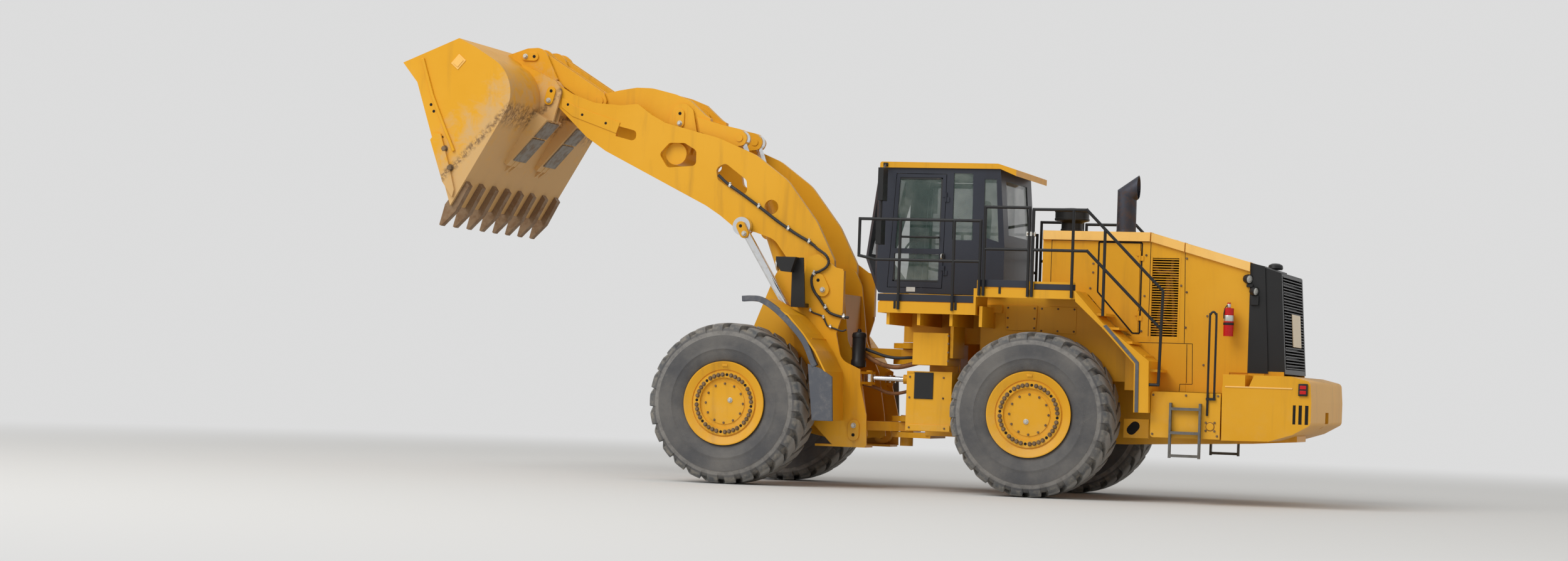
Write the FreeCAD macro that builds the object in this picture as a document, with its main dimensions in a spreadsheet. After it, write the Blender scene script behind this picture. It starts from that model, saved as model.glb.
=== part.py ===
import FreeCAD, Part
import math
import os
from Sketcher import Constraint

# Articulated wheel loader with its boom raised and its bucket dumped
# +Z up, forward is -X, the machine's left side is -Y, origin on the ground under the middle of the length
# Lengths along X are given from the rear axle, positive to the rear

doc = FreeCAD.newDocument("WheelLoader")
sheet = doc.addObject("Spreadsheet::Sheet", "Sizes")
origin = FreeCAD.Vector(0, 0, 0)
along_y = FreeCAD.Vector(0, 1, 0)

driving = {
    # place of the machine and its wheels
    "rear_axle_x": 2568, "wheelbase": 3980, "track_half": 1270,
    "tyre_radius": 1030, "tyre_width": 860, "bead_radius": 520,
    "lug_count": 26, "lug_height": 46, "lug_share": 0.74, "shoulder_share": 0.58,
    "lug_inner": 18, "lug_skew": 44,
    "rim_wall": 16, "hub_radius": 300, "groove_radius": 432, "cover_radius": 268, "spindle_radius": 150,
    "running_gap": 0.6,
    # pins of the boom linkage, from the rear axle and the ground
    "boom_pin_x": 953, "boom_pin_z": 2660, "bucket_pin_x": -2920, "bucket_pin_z": 5110,
    "link_pin_x": -3247, "link_pin_z": 5589, "lever_front_x": -2314, "lever_front_z": 5003,
    "pivot_x": -1156, "pivot_z": 4842, "lever_rear_x": -321, "lever_rear_z": 4527,
    "lift_base_x": 1495, "lift_base_z": 678, "lift_pin_x": -161, "lift_pin_z": 3348,
    "tilt_base_x": 375, "tilt_base_z": 2681, "pin_radius": 55, "pin_fit": 0.3, "pin_gap": 6,
    "boss_radius": 120,
    # boom, levers, links and cylinders
    "arm_inner": 500, "arm_thick": 80, "cross_radius": 145, "cross_x": -1170, "cross_z": 4300,
    "lever_y": 335, "lever_thick": 96, "fork_depth": 425, "side_gap": 8, "bracket_thick": 34,
    "lift_y": 642, "lift_barrel_radius": 108, "lift_rod_radius": 52, "lift_barrel_length": 1880,
    "lift_stroke": 1030,
    "eye_width": 110, "tilt_barrel_radius": 90, "tilt_rod_radius": 46, "tilt_barrel_length": 1420,
    "tilt_stroke": 200,
    # bucket
    "bucket_half": 1700, "bucket_roll": 520, "bucket_wall": 28, "bucket_side": 40, "hinge_thick": 46,
    "hinge_gap": 10,
    "skid_inner": 275, "skid_outer": 810, "tooth_count": 8, "tooth_length": 300,
    "cutter_thick": 38,
    # frames and articulation
    "tower_inner": 430, "tower_plate": 40, "flank_inner": 772, "flank_plate": 30,
    "hitch_pin_radius": 85, "lower_lug_z": 740, "upper_lug_z": 1690, "lug_plate": 120,
    "fork_plate": 70, "fork_gap": 8, "beam_half": 400, "beam_wall": 45,
    "steer_eye_x": 1600, "steer_eye_y": 520, "steer_base_x": -1190, "steer_base_y": 420,
    "steer_z": 1417, "steer_barrel_radius": 60, "steer_rod_radius": 32, "steer_barrel_length": 740,
    "steer_piston": 420, "steer_lug_gap": 49.5, "steer_lug_plate": 34, "steer_pin_radius": 40,
    # cab
    "cab_half": 870, "cab_wall": 45, "roof_half": 900,
    "door_gap": 8,
    # hood
    "hood_half": 950, "hood_top_half": 870, "hood_top_z": 3350, "hood_side_z": 3232, "hood_wall": 20,
    "panel_gap": 7, "knuckle_radius": 12, "knuckle_length": 60,
    # platforms, fenders, rails and steps
    "deck_half": 1590, "deck_front_z": 2386, "core_top": 2400, "mount_radius": 55, "deck_rear_z": 2580,
    "rail_radius": 19,
    "fender_outer": 1640,
    # tail
    "weight_half": 1500, "tow_pin_radius": 32,
}
for row, (name, value) in enumerate(driving.items(), 1):
    sheet.set("A%d" % row, name)
    sheet.set("B%d" % row, str(value))
    sheet.setAlias("B%d" % row, name)
doc.recompute()


class Size:
    """A length with its value and the sheet expression that gives it."""

    def __init__(self, value, text):
        self.value = float(value)
        self.text = text

    def join(self, other, sign, value):
        text = other.text if isinstance(other, Size) else repr(float(other))
        return Size(value, "(%s %s %s)" % (self.text, sign, text))

    def __add__(self, other):
        return self.join(other, "+", self.value + number(other))

    def __sub__(self, other):
        return self.join(other, "-", self.value - number(other))

    def __mul__(self, other):
        return self.join(other, "*", self.value * number(other))

    def __truediv__(self, other):
        return self.join(other, "/", self.value / number(other))

    def __neg__(self):
        return self * -1

    def __radd__(self, other):
        return fixed(other) + self

    def __rsub__(self, other):
        return fixed(other) - self

    def __rmul__(self, other):
        return self * other


def number(length):
    return length.value if isinstance(length, Size) else float(length)


def fixed(value):
    return Size(value, repr(float(value)))


class Sizes:
    """Every cell of the sheet by its name."""


s = Sizes()
for name in driving:
    setattr(s, name, Size(sheet.get(name), "Sizes." + name))


def as_size(value):
    return value if isinstance(value, Size) else fixed(value)


def fx(from_axle):
    """Place along X of a length from the rear axle."""
    return s.rear_axle_x + from_axle


def ahead(from_axle):
    """Place along X of a length from the front axle."""
    return s.rear_axle_x - s.wheelbase + from_axle


def bind(item, field, value):
    value = as_size(value)
    if field.startswith("Placement") or field.startswith("AttachmentOffset"):
        item.setExpression(field, value.text)
    else:
        setattr(item, field, value.value)
        item.setExpression(field, value.text)


def place(item, x=None, y=None, z=None):
    for axis, value in (("x", x), ("y", y), ("z", z)):
        if value is not None:
            bind(item, "Placement.Base." + axis, value)
    return item


# Primitives

def box(name, x1, x2, y1, y2, z1, z2):
    item = doc.addObject("Part::Box", name)
    x1, x2, y1, y2, z1, z2 = (as_size(v) for v in (x1, x2, y1, y2, z1, z2))
    bind(item, "Length", x2 - x1)
    bind(item, "Width", y2 - y1)
    bind(item, "Height", z2 - z1)
    return place(item, x1, y1, z1)


def rod_y(name, radius, x, z, y1, y2):
    """Cylinder along Y."""
    item = doc.addObject("Part::Cylinder", name)
    item.Placement = FreeCAD.Placement(origin, FreeCAD.Rotation(FreeCAD.Vector(1, 0, 0), -90))
    bind(item, "Radius", radius)
    bind(item, "Height", as_size(y2) - y1)
    return place(item, x, y1, z)


def rod_z(name, radius, x, y, z1, z2):
    item = doc.addObject("Part::Cylinder", name)
    bind(item, "Radius", radius)
    bind(item, "Height", as_size(z2) - z1)
    return place(item, x, y, z1)


def rod_between(name, radius, start, end, trim_start=0.0, trim_end=0.0):
    """Cylinder from one point to another, its ends cut back by the trims."""
    a = FreeCAD.Vector(*[number(v) for v in start])
    b = FreeCAD.Vector(*[number(v) for v in end])
    way = b - a
    length = way.Length
    way.normalize()
    item = doc.addObject("Part::Cylinder", name)
    bind(item, "Radius", radius)
    item.Height = length - number(trim_start) - number(trim_end)
    item.Placement = FreeCAD.Placement(a + way * number(trim_start),
                                       FreeCAD.Rotation(FreeCAD.Vector(0, 0, 1), way))
    return item


# Profiles

planes = {"xz": "XZ_Plane", "xy": "XY_Plane", "yz": "YZ_Plane"}


def new_body(name):
    body = doc.addObject("PartDesign::Body", name)
    body.Label = name
    return body


def sketch_on(body, plane, offset, corners, holes=()):
    """Closed outline of straight sides, each corner held to its two lengths, with round holes."""
    sketch = body.newObject("Sketcher::SketchObject", body.Name + "_outline")
    support = [f for f in body.Origin.OriginFeatures if f.Role == planes[plane]][0]
    sketch.AttachmentSupport = [(support, "")]
    sketch.MapMode = "FlatFace"
    bind(sketch, "AttachmentOffset.Base.z", offset)
    points = [(as_size(u), as_size(v)) for u, v in corners]
    vectors = [FreeCAD.Vector(u.value, v.value, 0) for u, v in points]
    count = len(points)
    for i in range(count):
        sketch.addGeometry(Part.LineSegment(vectors[i], vectors[(i + 1) % count]), False)
    rules = [Constraint("Coincident", i, 2, (i + 1) % count, 1) for i in range(count)]
    for i, (u, v) in enumerate(points):
        rules.append(Constraint("DistanceX", -1, 1, i, 1, u.value))
        rules.append(Constraint("DistanceY", -1, 1, i, 1, v.value))
    for k, (u, v, radius) in enumerate(holes):
        u, v, radius = as_size(u), as_size(v), as_size(radius)
        centre = FreeCAD.Vector(u.value, v.value, 0)
        sketch.addGeometry(Part.Circle(centre, FreeCAD.Vector(0, 0, 1), radius.value), False)
        rules.append(Constraint("DistanceX", -1, 1, count + k, 3, u.value))
        rules.append(Constraint("DistanceY", -1, 1, count + k, 3, v.value))
        rules.append(Constraint("Radius", count + k, radius.value))
    sketch.addConstraint(rules)
    at = count
    for u, v in points:
        for value in (u, v):
            sketch.setExpression("Constraints[%d]" % at, value.text)
            at += 1
    for u, v, radius in holes:
        for value in (u, v, radius):
            sketch.setExpression("Constraints[%d]" % at, as_size(value).text)
            at += 1
    return sketch


def round_corners(body, corners, radii, axis):
    """Fillets on the edges that stand at the named corners, one feature for each radius."""
    flat = {"y": ("x", "z"), "z": ("x", "y"), "x": ("y", "z")}[axis]
    wanted = {}
    for index, radius in radii.items():
        wanted.setdefault(as_size(radius).text, (as_size(radius), []))[1].append(index)
    for text, (radius, indexes) in wanted.items():
        doc.recompute()
        base = body.Tip
        names = []
        for index in indexes:
            u, v = (number(c) for c in corners[index])
            for k, edge in enumerate(base.Shape.Edges, 1):
                ends = [(getattr(p.Point, flat[0]), getattr(p.Point, flat[1])) for p in edge.Vertexes]
                if len(ends) == 2 and all(math.hypot(a - u, b - v) < 0.01 for a, b in ends):
                    names.append("Edge%d" % k)
        fillet = body.newObject("PartDesign::Fillet", body.Name + "_round")
        fillet.Base = (base, names)
        bind(fillet, "Radius", radius)


def slab(name, corners, y1, y2, holes=(), radii=None):
    """Plate with its outline in X and Z, from y1 to y2."""
    body = new_body(name)
    sketch = sketch_on(body, "xz", -as_size(y2), corners, holes)
    pad = body.newObject("PartDesign::Pad", name + "_pad")
    pad.Profile = sketch
    bind(pad, "Length", as_size(y2) - y1)
    if radii:
        round_corners(body, corners, radii, "y")
    return body


def floor_slab(name, corners, z1, z2, holes=(), radii=None):
    """Plate with its outline in X and Y, from z1 to z2."""
    body = new_body(name)
    sketch = sketch_on(body, "xy", z1, corners, holes)
    pad = body.newObject("PartDesign::Pad", name + "_pad")
    pad.Profile = sketch
    bind(pad, "Length", as_size(z2) - z1)
    if radii:
        round_corners(body, corners, radii, "z")
    return body


def cross_slab(name, corners, x1, x2, holes=()):
    """Plate with its outline in Y and Z, from x1 to x2."""
    body = new_body(name)
    sketch = sketch_on(body, "yz", x1, corners, holes)
    pad = body.newObject("PartDesign::Pad", name + "_pad")
    pad.Profile = sketch
    bind(pad, "Length", as_size(x2) - x1)
    return body


def turned(name, corners, x, y, z):
    """Solid of revolution about a line along Y, its outline in radius and distance along the line."""
    body = new_body(name)
    sketch = sketch_on(body, "xy", 0, corners)
    turn = body.newObject("PartDesign::Revolution", name + "_turn")
    turn.Profile = sketch
    turn.ReferenceAxis = (sketch, ["V_Axis"])
    turn.Angle = 360
    return place(body, x, y, z)


# Joining

def fuse(label, *pieces):
    item = doc.addObject("Part::MultiFuse", label)
    item.Shapes = list(pieces)
    item.Label = label
    return item


def cut(label, base, *tools):
    item = doc.addObject("Part::Cut", label)
    item.Base = base
    item.Tool = tools[0] if len(tools) == 1 else fuse(label + "_tools", *tools)
    item.Label = label
    return item


def mirrored(piece):
    item = doc.addObject("Part::Mirroring", piece.Name + "_right")
    item.Source = piece
    item.Normal = along_y
    item.Base = origin
    return item


def compound(label, *pieces):
    item = doc.addObject("Part::Compound", label)
    item.Links = list(pieces)
    item.Label = label
    return item


def both(label, piece):
    """The piece and its mirror image on the other side, as one node."""
    return compound(label, piece, mirrored(piece))


def inset(path, wall, closed=False):
    """The path's corners moved by the wall to the left of its way, or inwards if it is closed."""
    spots = [(as_size(u).value, as_size(v).value) for u, v in path]
    ring = spots + spots[:1] if closed else spots
    normals = []
    for (xa, za), (xb, zb) in zip(ring, ring[1:]):
        run = math.hypot(xb - xa, zb - za)
        normals.append((-(zb - za) / run, (xb - xa) / run))
    turn = 1
    if closed:
        turn = math.copysign(1, sum(xa * zb - xb * za for (xa, za), (xb, zb) in zip(ring, ring[1:])))
    moved = []
    for k, (u, v) in enumerate(path):
        before = normals[k - 1] if closed else normals[max(k - 1, 0)]
        after = normals[k] if closed else normals[min(k, len(normals) - 1)]
        share = (1 + before[0] * after[0] + before[1] * after[1]) * turn
        moved.append((as_size(u) + wall * ((before[0] + after[0]) / share),
                      as_size(v) + wall * ((before[1] + after[1]) / share)))
    return moved


nodes = []


def node(item, label=None):
    if label:
        item.Label = label
    nodes.append(item)
    return item


def shifted(points):
    """Corners given from the rear axle, moved to the machine's frame."""
    return [(fx(u), v) for u, v in points]


def from_front(points):
    """Corners given from the front axle, moved to the machine's frame."""
    return [(ahead(u), v) for u, v in points]


# Wheels

def flat_solid(faces):
    """Solid of flat faces, each given by its corners."""
    rings = [[FreeCAD.Vector(*c) for c in list(face) + [face[0]]] for face in faces]
    sides = [Part.Face(Part.makePolygon(ring)) for ring in rings]
    solid = Part.makeSolid(Part.makeShell(sides))
    if solid.Volume < 0:
        solid.reverse()
    return solid


def tyre_shape():
    """Tyre about the Y axis with flat facets and two rows of lugs, half a pitch off each other."""
    half, crown, pitch = s.tyre_width.value / 2, s.tyre_radius.value, 2 * math.pi / s.lug_count.value
    bead = s.bead_radius.value / math.cos(pitch / 2)
    groove = crown - s.lug_height.value
    side = [(bead, half - 80), (crown - 200, half - 2), (groove, half - 85)]
    profile = [(r, -y) for r, y in side] + side[::-1]
    rings = [[(r * math.sin(k * pitch), y, r * math.cos(k * pitch)) for r, y in profile]
             for k in range(int(s.lug_count.value))]
    faces = []
    for k, ring in enumerate(rings):
        after = rings[(k + 1) % len(rings)]
        for i in range(len(profile)):
            j = (i + 1) % len(profile)
            faces.append([ring[i], ring[j], after[j], after[i]])
    carcass = flat_solid(faces)
    inner, outer = s.lug_inner.value, half - 65
    widths = [crown * math.sin(pitch * share.value / 2) for share in (s.lug_share, s.shoulder_share)]
    reach = widths[0] + s.lug_skew.value / 2
    top = math.sqrt(crown ** 2 - reach ** 2)
    section = [(inner, crown - 100), (inner, top), (outer, top), (half - 35, crown - 170)]

    def lug_corners(row, way):
        """One flank of a lug: wide at the middle of the tread, narrow and moved back at the shoulder."""
        shares = [(y - inner) / (outer - inner) for y, z in section]
        return [(way * (widths[0] + (widths[1] - widths[0]) * f) + s.lug_skew.value * (0.5 - f), row * y, z)
                for f, (y, z) in zip(shares, section)]

    lugs = []
    for row in (-1, 1):
        near, far = lug_corners(row, -1), lug_corners(row, 1)
        walls = [[near[i], near[(i + 1) % 4], far[(i + 1) % 4], far[i]] for i in range(4)]
        lug = flat_solid([near, far] + walls)
        for k in range(len(rings)):
            turned_lug = lug.copy()
            turned_lug.rotate(origin, along_y, math.degrees(pitch * (k + (0.5 if row > 0 else 0))))
            lugs.append(turned_lug)
    tyre = carcass.fuse(lugs).Solids[0]
    tyre.rotate(origin, along_y, 180 - math.degrees(math.asin(reach / crown)))
    return tyre


def wheel(label, x, side):
    """Tyre and rim of one wheel. side is -1 on the left and 1 on the right."""
    tyre = doc.addObject("Part::Feature", "tyre_" + label)
    tyre.Label = "tyre_" + label
    tyre.Shape = tyre_whole
    tyre.Placement.Base = FreeCAD.Vector(number(x), side * s.track_half.value, s.tyre_radius.value)
    node(tyre)
    seat = s.bead_radius - 0.3
    lip = s.tyre_width / 2 - 25
    rim_outline = [
        (s.spindle_radius + s.running_gap, 40), (s.hub_radius, 40), (s.hub_radius, lip - 75),
        (s.hub_radius + 120, lip - 75),
        (seat - s.rim_wall, lip - 33), (seat - s.rim_wall, -lip), (seat + 16, -lip), (seat + 16, 25 - lip),
        (seat, 50 - lip), (seat, lip - 50), (seat + 16, lip - 25), (seat + 16, lip), (seat + 4, lip),
        (s.groove_radius, lip - 30), (s.groove_radius, lip - 43), (s.groove_radius - 20, lip - 43),
        (s.groove_radius - 20, lip - 23), (s.cover_radius + 59, lip - 23), (s.cover_radius + 57, lip - 53),
        (s.cover_radius, lip - 53), (s.cover_radius, lip - 43), (fixed(1), lip - 43), (fixed(1), lip - 60),
        (s.spindle_radius + s.running_gap, lip - 60),
    ]
    rim = turned("rim_" + label, [(r, as_size(y) * side) for r, y in rim_outline], x, s.track_half * side,
                 s.tyre_radius)
    node(rim)


tyre_whole = tyre_shape()
for end, along in (("front", fx(-s.wheelbase)), ("rear", fx(0))):
    wheel(end + "_left", along, -1)
    wheel(end + "_right", along, 1)


def axle(label, x):
    """Axle housing with its centre case, hub ends and the spindles inside the wheels."""
    reach = s.track_half + s.tyre_width * 0.36
    tube = rod_y(label + "_tube", s.spindle_radius + 30, x, s.tyre_radius, -(s.track_half - 460),
                 s.track_half - 460)
    spindle = rod_y(label + "_spindle", s.spindle_radius, x, s.tyre_radius, -reach, reach)
    case = rod_y(label + "_case", 330, x, s.tyre_radius, -190, 190)
    nose = rod_between(label + "_nose", 150, (number(x), 0, number(s.tyre_radius)),
                       (number(x) + (450 if "front" in label else -450), 0, number(s.tyre_radius)))
    return node(fuse(label, tube, spindle, case, nose))


front_axle_x = fx(-s.wheelbase)
hinge_x = fx(s.wheelbase * -0.5)
axle("front_axle", front_axle_x)
axle("rear_axle", fx(0))

# Front frame: two tower plates carry the boom and tilt pins, two flanks carry the lift cylinders

tower_corners = from_front([
    (220, 2640), (290, 2790), (460, 2790), (800, 2860), (1080, 2860), (1190, 2640), (1280, 1900),
    (1460, 1500), (1555, 940), (1580, 660), (1180, 600), (680, 700), (-440, 700), (-440, 1380),
    (-70, 1900),
])
tower = slab("tower", tower_corners, -(s.tower_inner + s.tower_plate), -s.tower_inner,
             radii={1: 90, 4: 120, 13: 200, 14: 200})
flank_corners = from_front([
    (750, 2700), (800, 2960), (940, 3000), (1180, 2830), (1280, 2810), (1280, 2200), (1214, 1978),
    (1290, 1640), (1553, 1523), (1560, 1322), (1655, 939), (1668, 540), (1220, 530), (950, 800),
    (680, 1500), (615, 2290), (615, 2540),
])
flank = slab("flank", flank_corners, -(s.flank_inner + s.flank_plate), -s.flank_inner,
             radii={1: 60, 2: 60, 7: 190, 12: 150, 14: 200})
boom_pin_x, boom_pin_z = ahead(s.boom_pin_x), s.boom_pin_z
tilt_base_x, tilt_base_z = ahead(s.tilt_base_x), s.tilt_base_z
lift_base_x, lift_base_z = ahead(s.lift_base_x), s.lift_base_z
plate_out = s.flank_inner + s.flank_plate
tilt_clevis = slab("tilt_clevis", from_front([
    (240, 2600), (280, 2780), (450, 2780), (650, 2500), (650, 2250), (180, 2250),
]), -(s.lever_y - s.tilt_barrel_radius - s.side_gap),
-(s.lever_y - s.tilt_barrel_radius - s.side_gap - s.tower_plate),
    radii={0: 60, 1: 60, 2: 60})
tower_sides = fuse("tower_sides", tower, flank, tilt_clevis,
                   rod_y("boom_pin", s.pin_radius, boom_pin_x, boom_pin_z, -(plate_out + 20), -s.tower_inner),
                   rod_y("tilt_pin", s.pin_radius, tilt_base_x, tilt_base_z,
                         -(s.tower_inner + s.tower_plate), -190),
                   rod_y("lift_pin", s.pin_radius, lift_base_x, lift_base_z, -(plate_out + 20),
                         -s.tower_inner),
                   box("flank_floor", ahead(980), ahead(1650), -plate_out, -s.tower_inner, 520, 548),
                   box("flank_back", ahead(1260), ahead(1290), -plate_out, -(s.flank_inner - 60), 2240, 2790))
lug_root = s.tower_inner + s.tower_plate / 2
lower_lug = floor_slab("lower_lug", [
    (ahead(1080), -lug_root), (ahead(1460), -lug_root), (hinge_x - 60, -190), (hinge_x + 150, -150),
    (hinge_x + 190, 0), (hinge_x + 150, 150), (hinge_x - 60, 190), (ahead(1460), lug_root),
    (ahead(1080), lug_root),
], s.lower_lug_z, s.lower_lug_z + s.lug_plate, holes=[(hinge_x, 0, s.hitch_pin_radius + s.pin_fit)],
    radii={3: 90, 4: 60, 5: 90})
upper_lug = floor_slab("upper_lug", [
    (ahead(1080), -lug_root), (ahead(1320), -lug_root), (hinge_x - 60, -190), (hinge_x + 150, -150),
    (hinge_x + 190, 0), (hinge_x + 150, 150), (hinge_x - 60, 190), (ahead(1320), lug_root),
    (ahead(1080), lug_root),
], s.upper_lug_z, s.upper_lug_z + s.lug_plate, holes=[(hinge_x, 0, s.hitch_pin_radius + s.pin_fit)],
    radii={3: 90, 4: 60, 5: 90})
steer_lugs = [
    floor_slab("steer_lug_%d" % level, [
        (ahead(1480), -s.flank_inner), (ahead(s.steer_eye_x - 60), -(s.steer_eye_y - 80)),
        (ahead(s.steer_eye_x + 60), -(s.steer_eye_y - 80)), (ahead(1555), -s.flank_inner),
    ], z, z + s.steer_lug_plate)
    for level, z in ((1, s.steer_z - s.steer_lug_plate - s.steer_lug_gap), (2, s.steer_z + s.steer_lug_gap))
]
pin_end = s.steer_lug_gap + s.steer_lug_plate + 16
steer_side = fuse(
    "steer_side", *steer_lugs,
    rod_z("steer_pin_low", s.steer_pin_radius, ahead(s.steer_eye_x), -s.steer_eye_y, s.steer_z - pin_end,
          s.steer_z - s.steer_lug_gap),
    rod_z("steer_pin_high", s.steer_pin_radius, ahead(s.steer_eye_x), -s.steer_eye_y,
          s.steer_z + s.steer_lug_gap,
          s.steer_z + pin_end))
front_frame = fuse(
    "front_frame_solid", both("tower_pair", tower_sides), both("steer_pair", steer_side), lower_lug,
    upper_lug,
    box("axle_saddle", ahead(-440), ahead(440), -s.tower_inner, s.tower_inner, 1180, 1240),
    box("tower_back", ahead(1150), ahead(1190), -s.tower_inner, s.tower_inner, 700, 2500),
    box("tower_front", ahead(160), ahead(200), -s.tower_inner, s.tower_inner, 1240, 2250),
    box("tower_shelf", ahead(180), ahead(680), -s.tower_inner, s.tower_inner, 2230, 2270),
)
axle_hole = rod_y("front_axle_hole", s.spindle_radius + 40, front_axle_x, s.tyre_radius, -600, 600)
case_hole = rod_y("front_case_hole", 340, front_axle_x, s.tyre_radius, -195, 195)
node(cut("front_frame", front_frame, axle_hole, case_hole))

# Boom: two slab arms joined by the cross tube that carries the lever brackets

arm_corners = from_front([
    (-2880, 5215), (-2660, 5085), (-2320, 4962), (-1940, 4932), (-1710, 4952), (-1500, 4803), (-1310, 4702),
    (-560, 4512), (-30, 4290), (420, 3960), (840, 3420), (1090, 2930), (1110, 2600), (830, 2510),
    (636, 2691), (260, 3190), (0, 3275), (-290, 3330), (-500, 3490), (-700, 3615), (-2140, 4320),
    (-2420, 4505), (-2840, 4905), (-3005, 5050), (-3010, 5140),
])
arm_out = s.arm_inner + s.arm_thick
arm = slab("arm", arm_corners, -arm_out, -s.arm_inner,
           holes=[(ahead(205), 3611, 95)],
           radii={0: 120, 2: 500, 4: 60, 7: 900, 8: 500, 9: 500, 10: 500, 12: 150, 13: 150, 15: 250, 17: 100,
                  19: 300, 21: 300, 23: 40, 24: 40})
slots = [
    slab("lamp_slot", from_front([(-1995, 4660), (-1710, 4590), (-1720, 4450), (-2005, 4520)]),
         -(arm_out + 5), -(s.arm_inner - 5), radii={1: 60, 2: 60}),
    slab("tube_window", from_front([(-1378, 4290), (-1240, 4440), (-1030, 4440), (-860, 4340), (-860, 4140),
                                 (-1260, 4110)]),
         -(arm_out + 5), -(s.arm_inner - 5), radii={0: 60, 1: 60, 2: 60, 3: 60, 4: 60, 5: 60}),
    slab("hose_slot", from_front([(-580, 4110), (-450, 4180), (-150, 3960), (-130, 3790), (-240, 3760),
                               (-550, 3960)]),
         -(arm_out + 5), -(s.arm_inner - 5), radii={0: 70, 1: 70, 2: 70, 3: 70, 4: 70, 5: 70}),
]
boom_hub = rod_y("boom_hub", 150, boom_pin_x, boom_pin_z, -(s.flank_inner - s.pin_gap),
                 -(s.tower_inner + s.tower_plate + s.pin_gap))
boom_bore = rod_y("boom_bore", s.pin_radius + s.pin_fit, boom_pin_x, boom_pin_z, -s.flank_inner,
                  -s.tower_inner)
bucket_bore = rod_y("bucket_bore", s.pin_radius + s.pin_fit, ahead(s.bucket_pin_x), s.bucket_pin_z,
                    -(arm_out + 5),
                    -(s.arm_inner - 5))
bucket_hub = rod_y("bucket_hub", 116, ahead(s.bucket_pin_x), s.bucket_pin_z, -arm_out, -s.arm_inner)
lift_pin_cap = rod_y("lift_pin_cap", s.pin_radius, ahead(s.lift_pin_x), s.lift_pin_z, -s.arm_inner,
                     -(s.arm_inner - 20))
bracket_out = s.lever_y + s.lever_thick / 2 + s.side_gap
bracket_corners = from_front([
    (-1320, 4300), (-1310, 4760), (-1250, 4960), (-1080, 4980), (-980, 4890), (-920, 4600), (-1020, 4300),
])
bracket = slab("lever_bracket", bracket_corners, -(bracket_out + s.bracket_thick), -bracket_out,
               radii={2: 120, 3: 120, 4: 60})
bracket_in = s.lever_y - s.lever_thick / 2 - s.side_gap
inner_bracket = slab("lever_bracket_inner", bracket_corners, -bracket_in, -(bracket_in - s.bracket_thick),
                     radii={2: 120, 3: 120, 4: 60})
pivot_pin = rod_y("pivot_pin", s.pin_radius, ahead(s.pivot_x), s.pivot_z,
                  -(bracket_out + s.bracket_thick + 15),
                  -(bracket_in - s.bracket_thick))
lift_hub = rod_y("lift_hub", 115, ahead(s.lift_pin_x), s.lift_pin_z, -arm_out, -s.arm_inner)
arm_side = cut("arm_side", fuse("arm_solid", arm, boom_hub, bucket_hub, lift_hub), boom_bore, bucket_bore,
               *slots)
boom_side = fuse("boom_side", arm_side, bracket, inner_bracket, pivot_pin, lift_pin_cap)
cross_tube = rod_y("cross_tube", s.cross_radius, ahead(s.cross_x), s.cross_z, -s.arm_inner, s.arm_inner)
node(fuse("boom", both("boom_sides", boom_side), cross_tube))

# Levers on the cross tube, and the links from them to the bucket

lever_corners = from_front([
    (-2430, 5060), (-2040, 5150), (-1800, 5188), (-1580, 5182), (-1260, 5105), (-1040, 5020), (-810, 4815),
    (-580, 4700), (-300, 4640), (-200, 4540), (-250, 4430), (-400, 4410), (-850, 4580), (-1100, 4690),
    (-1370, 4710), (-1920, 4850), (-2280, 4880), (-2420, 4900),
])
bore = s.pin_radius + s.pin_fit
lever = slab("lever", lever_corners, -(s.lever_y + s.lever_thick / 2), -(s.lever_y - s.lever_thick / 2),
             holes=[(ahead(s.pivot_x), s.pivot_z, bore)],
             radii={0: 90, 1: 300, 3: 500, 6: 300, 8: 80, 9: 80, 10: 80, 12: 300, 14: 300, 16: 80, 17: 80})
eye_gap = s.eye_width / 2 + s.pin_fit
cheek = eye_gap + 40
cheek_corners = from_front([
    (-920, 4800), (-580, 4700), (-300, 4640), (-200, 4540), (-250, 4430), (-400, 4410), (-870, 4600),
])
cheeks = []
for k, (y1, y2) in enumerate(((-(s.lever_y + cheek), -(s.lever_y + s.lever_thick / 2 - 2)),
                              (-(s.lever_y - s.lever_thick / 2 + 2), -(s.lever_y - cheek)))):
    cheeks.append(slab("lever_cheek_%d" % k, cheek_corners, y1, y2, radii={2: 80, 3: 80, 4: 80}))
fork_cut = box("fork_cut", ahead(s.lever_rear_x - s.fork_depth), ahead(s.lever_rear_x + 160),
               -(s.lever_y + eye_gap),
               -(s.lever_y - eye_gap), s.lever_rear_z - 250, s.lever_rear_z + 330)
rear_pin_ends = [
    rod_y("lever_rear_pin_out", s.pin_radius - 6, ahead(s.lever_rear_x), s.lever_rear_z,
          -(s.lever_y + cheek + 12),
          -(s.lever_y + eye_gap)),
    rod_y("lever_rear_pin_in", s.pin_radius - 6, ahead(s.lever_rear_x), s.lever_rear_z,
          -(s.lever_y - eye_gap),
          -(s.lever_y - cheek - 12)),
]
front_hub = rod_y("lever_front_hub", 88, ahead(s.lever_front_x), s.lever_front_z,
                  -(s.lever_y + s.lever_thick / 2 + s.side_gap - s.pin_fit),
                  -(s.lever_y - s.lever_thick / 2 - s.side_gap + s.pin_fit))
lever_solid = fuse("lever_solid", cut("lever_fork", fuse("lever_blank", lever, *cheeks), fork_cut), front_hub,
                   *rear_pin_ends)
node(both("levers", lever_solid))
front = (ahead(s.lever_front_x), s.lever_front_z)
far = (ahead(s.link_pin_x), s.link_pin_z)
link_in = s.lever_y - s.lever_thick / 2 - s.side_gap
link_plate = s.bracket_thick
link_bar = []
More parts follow.
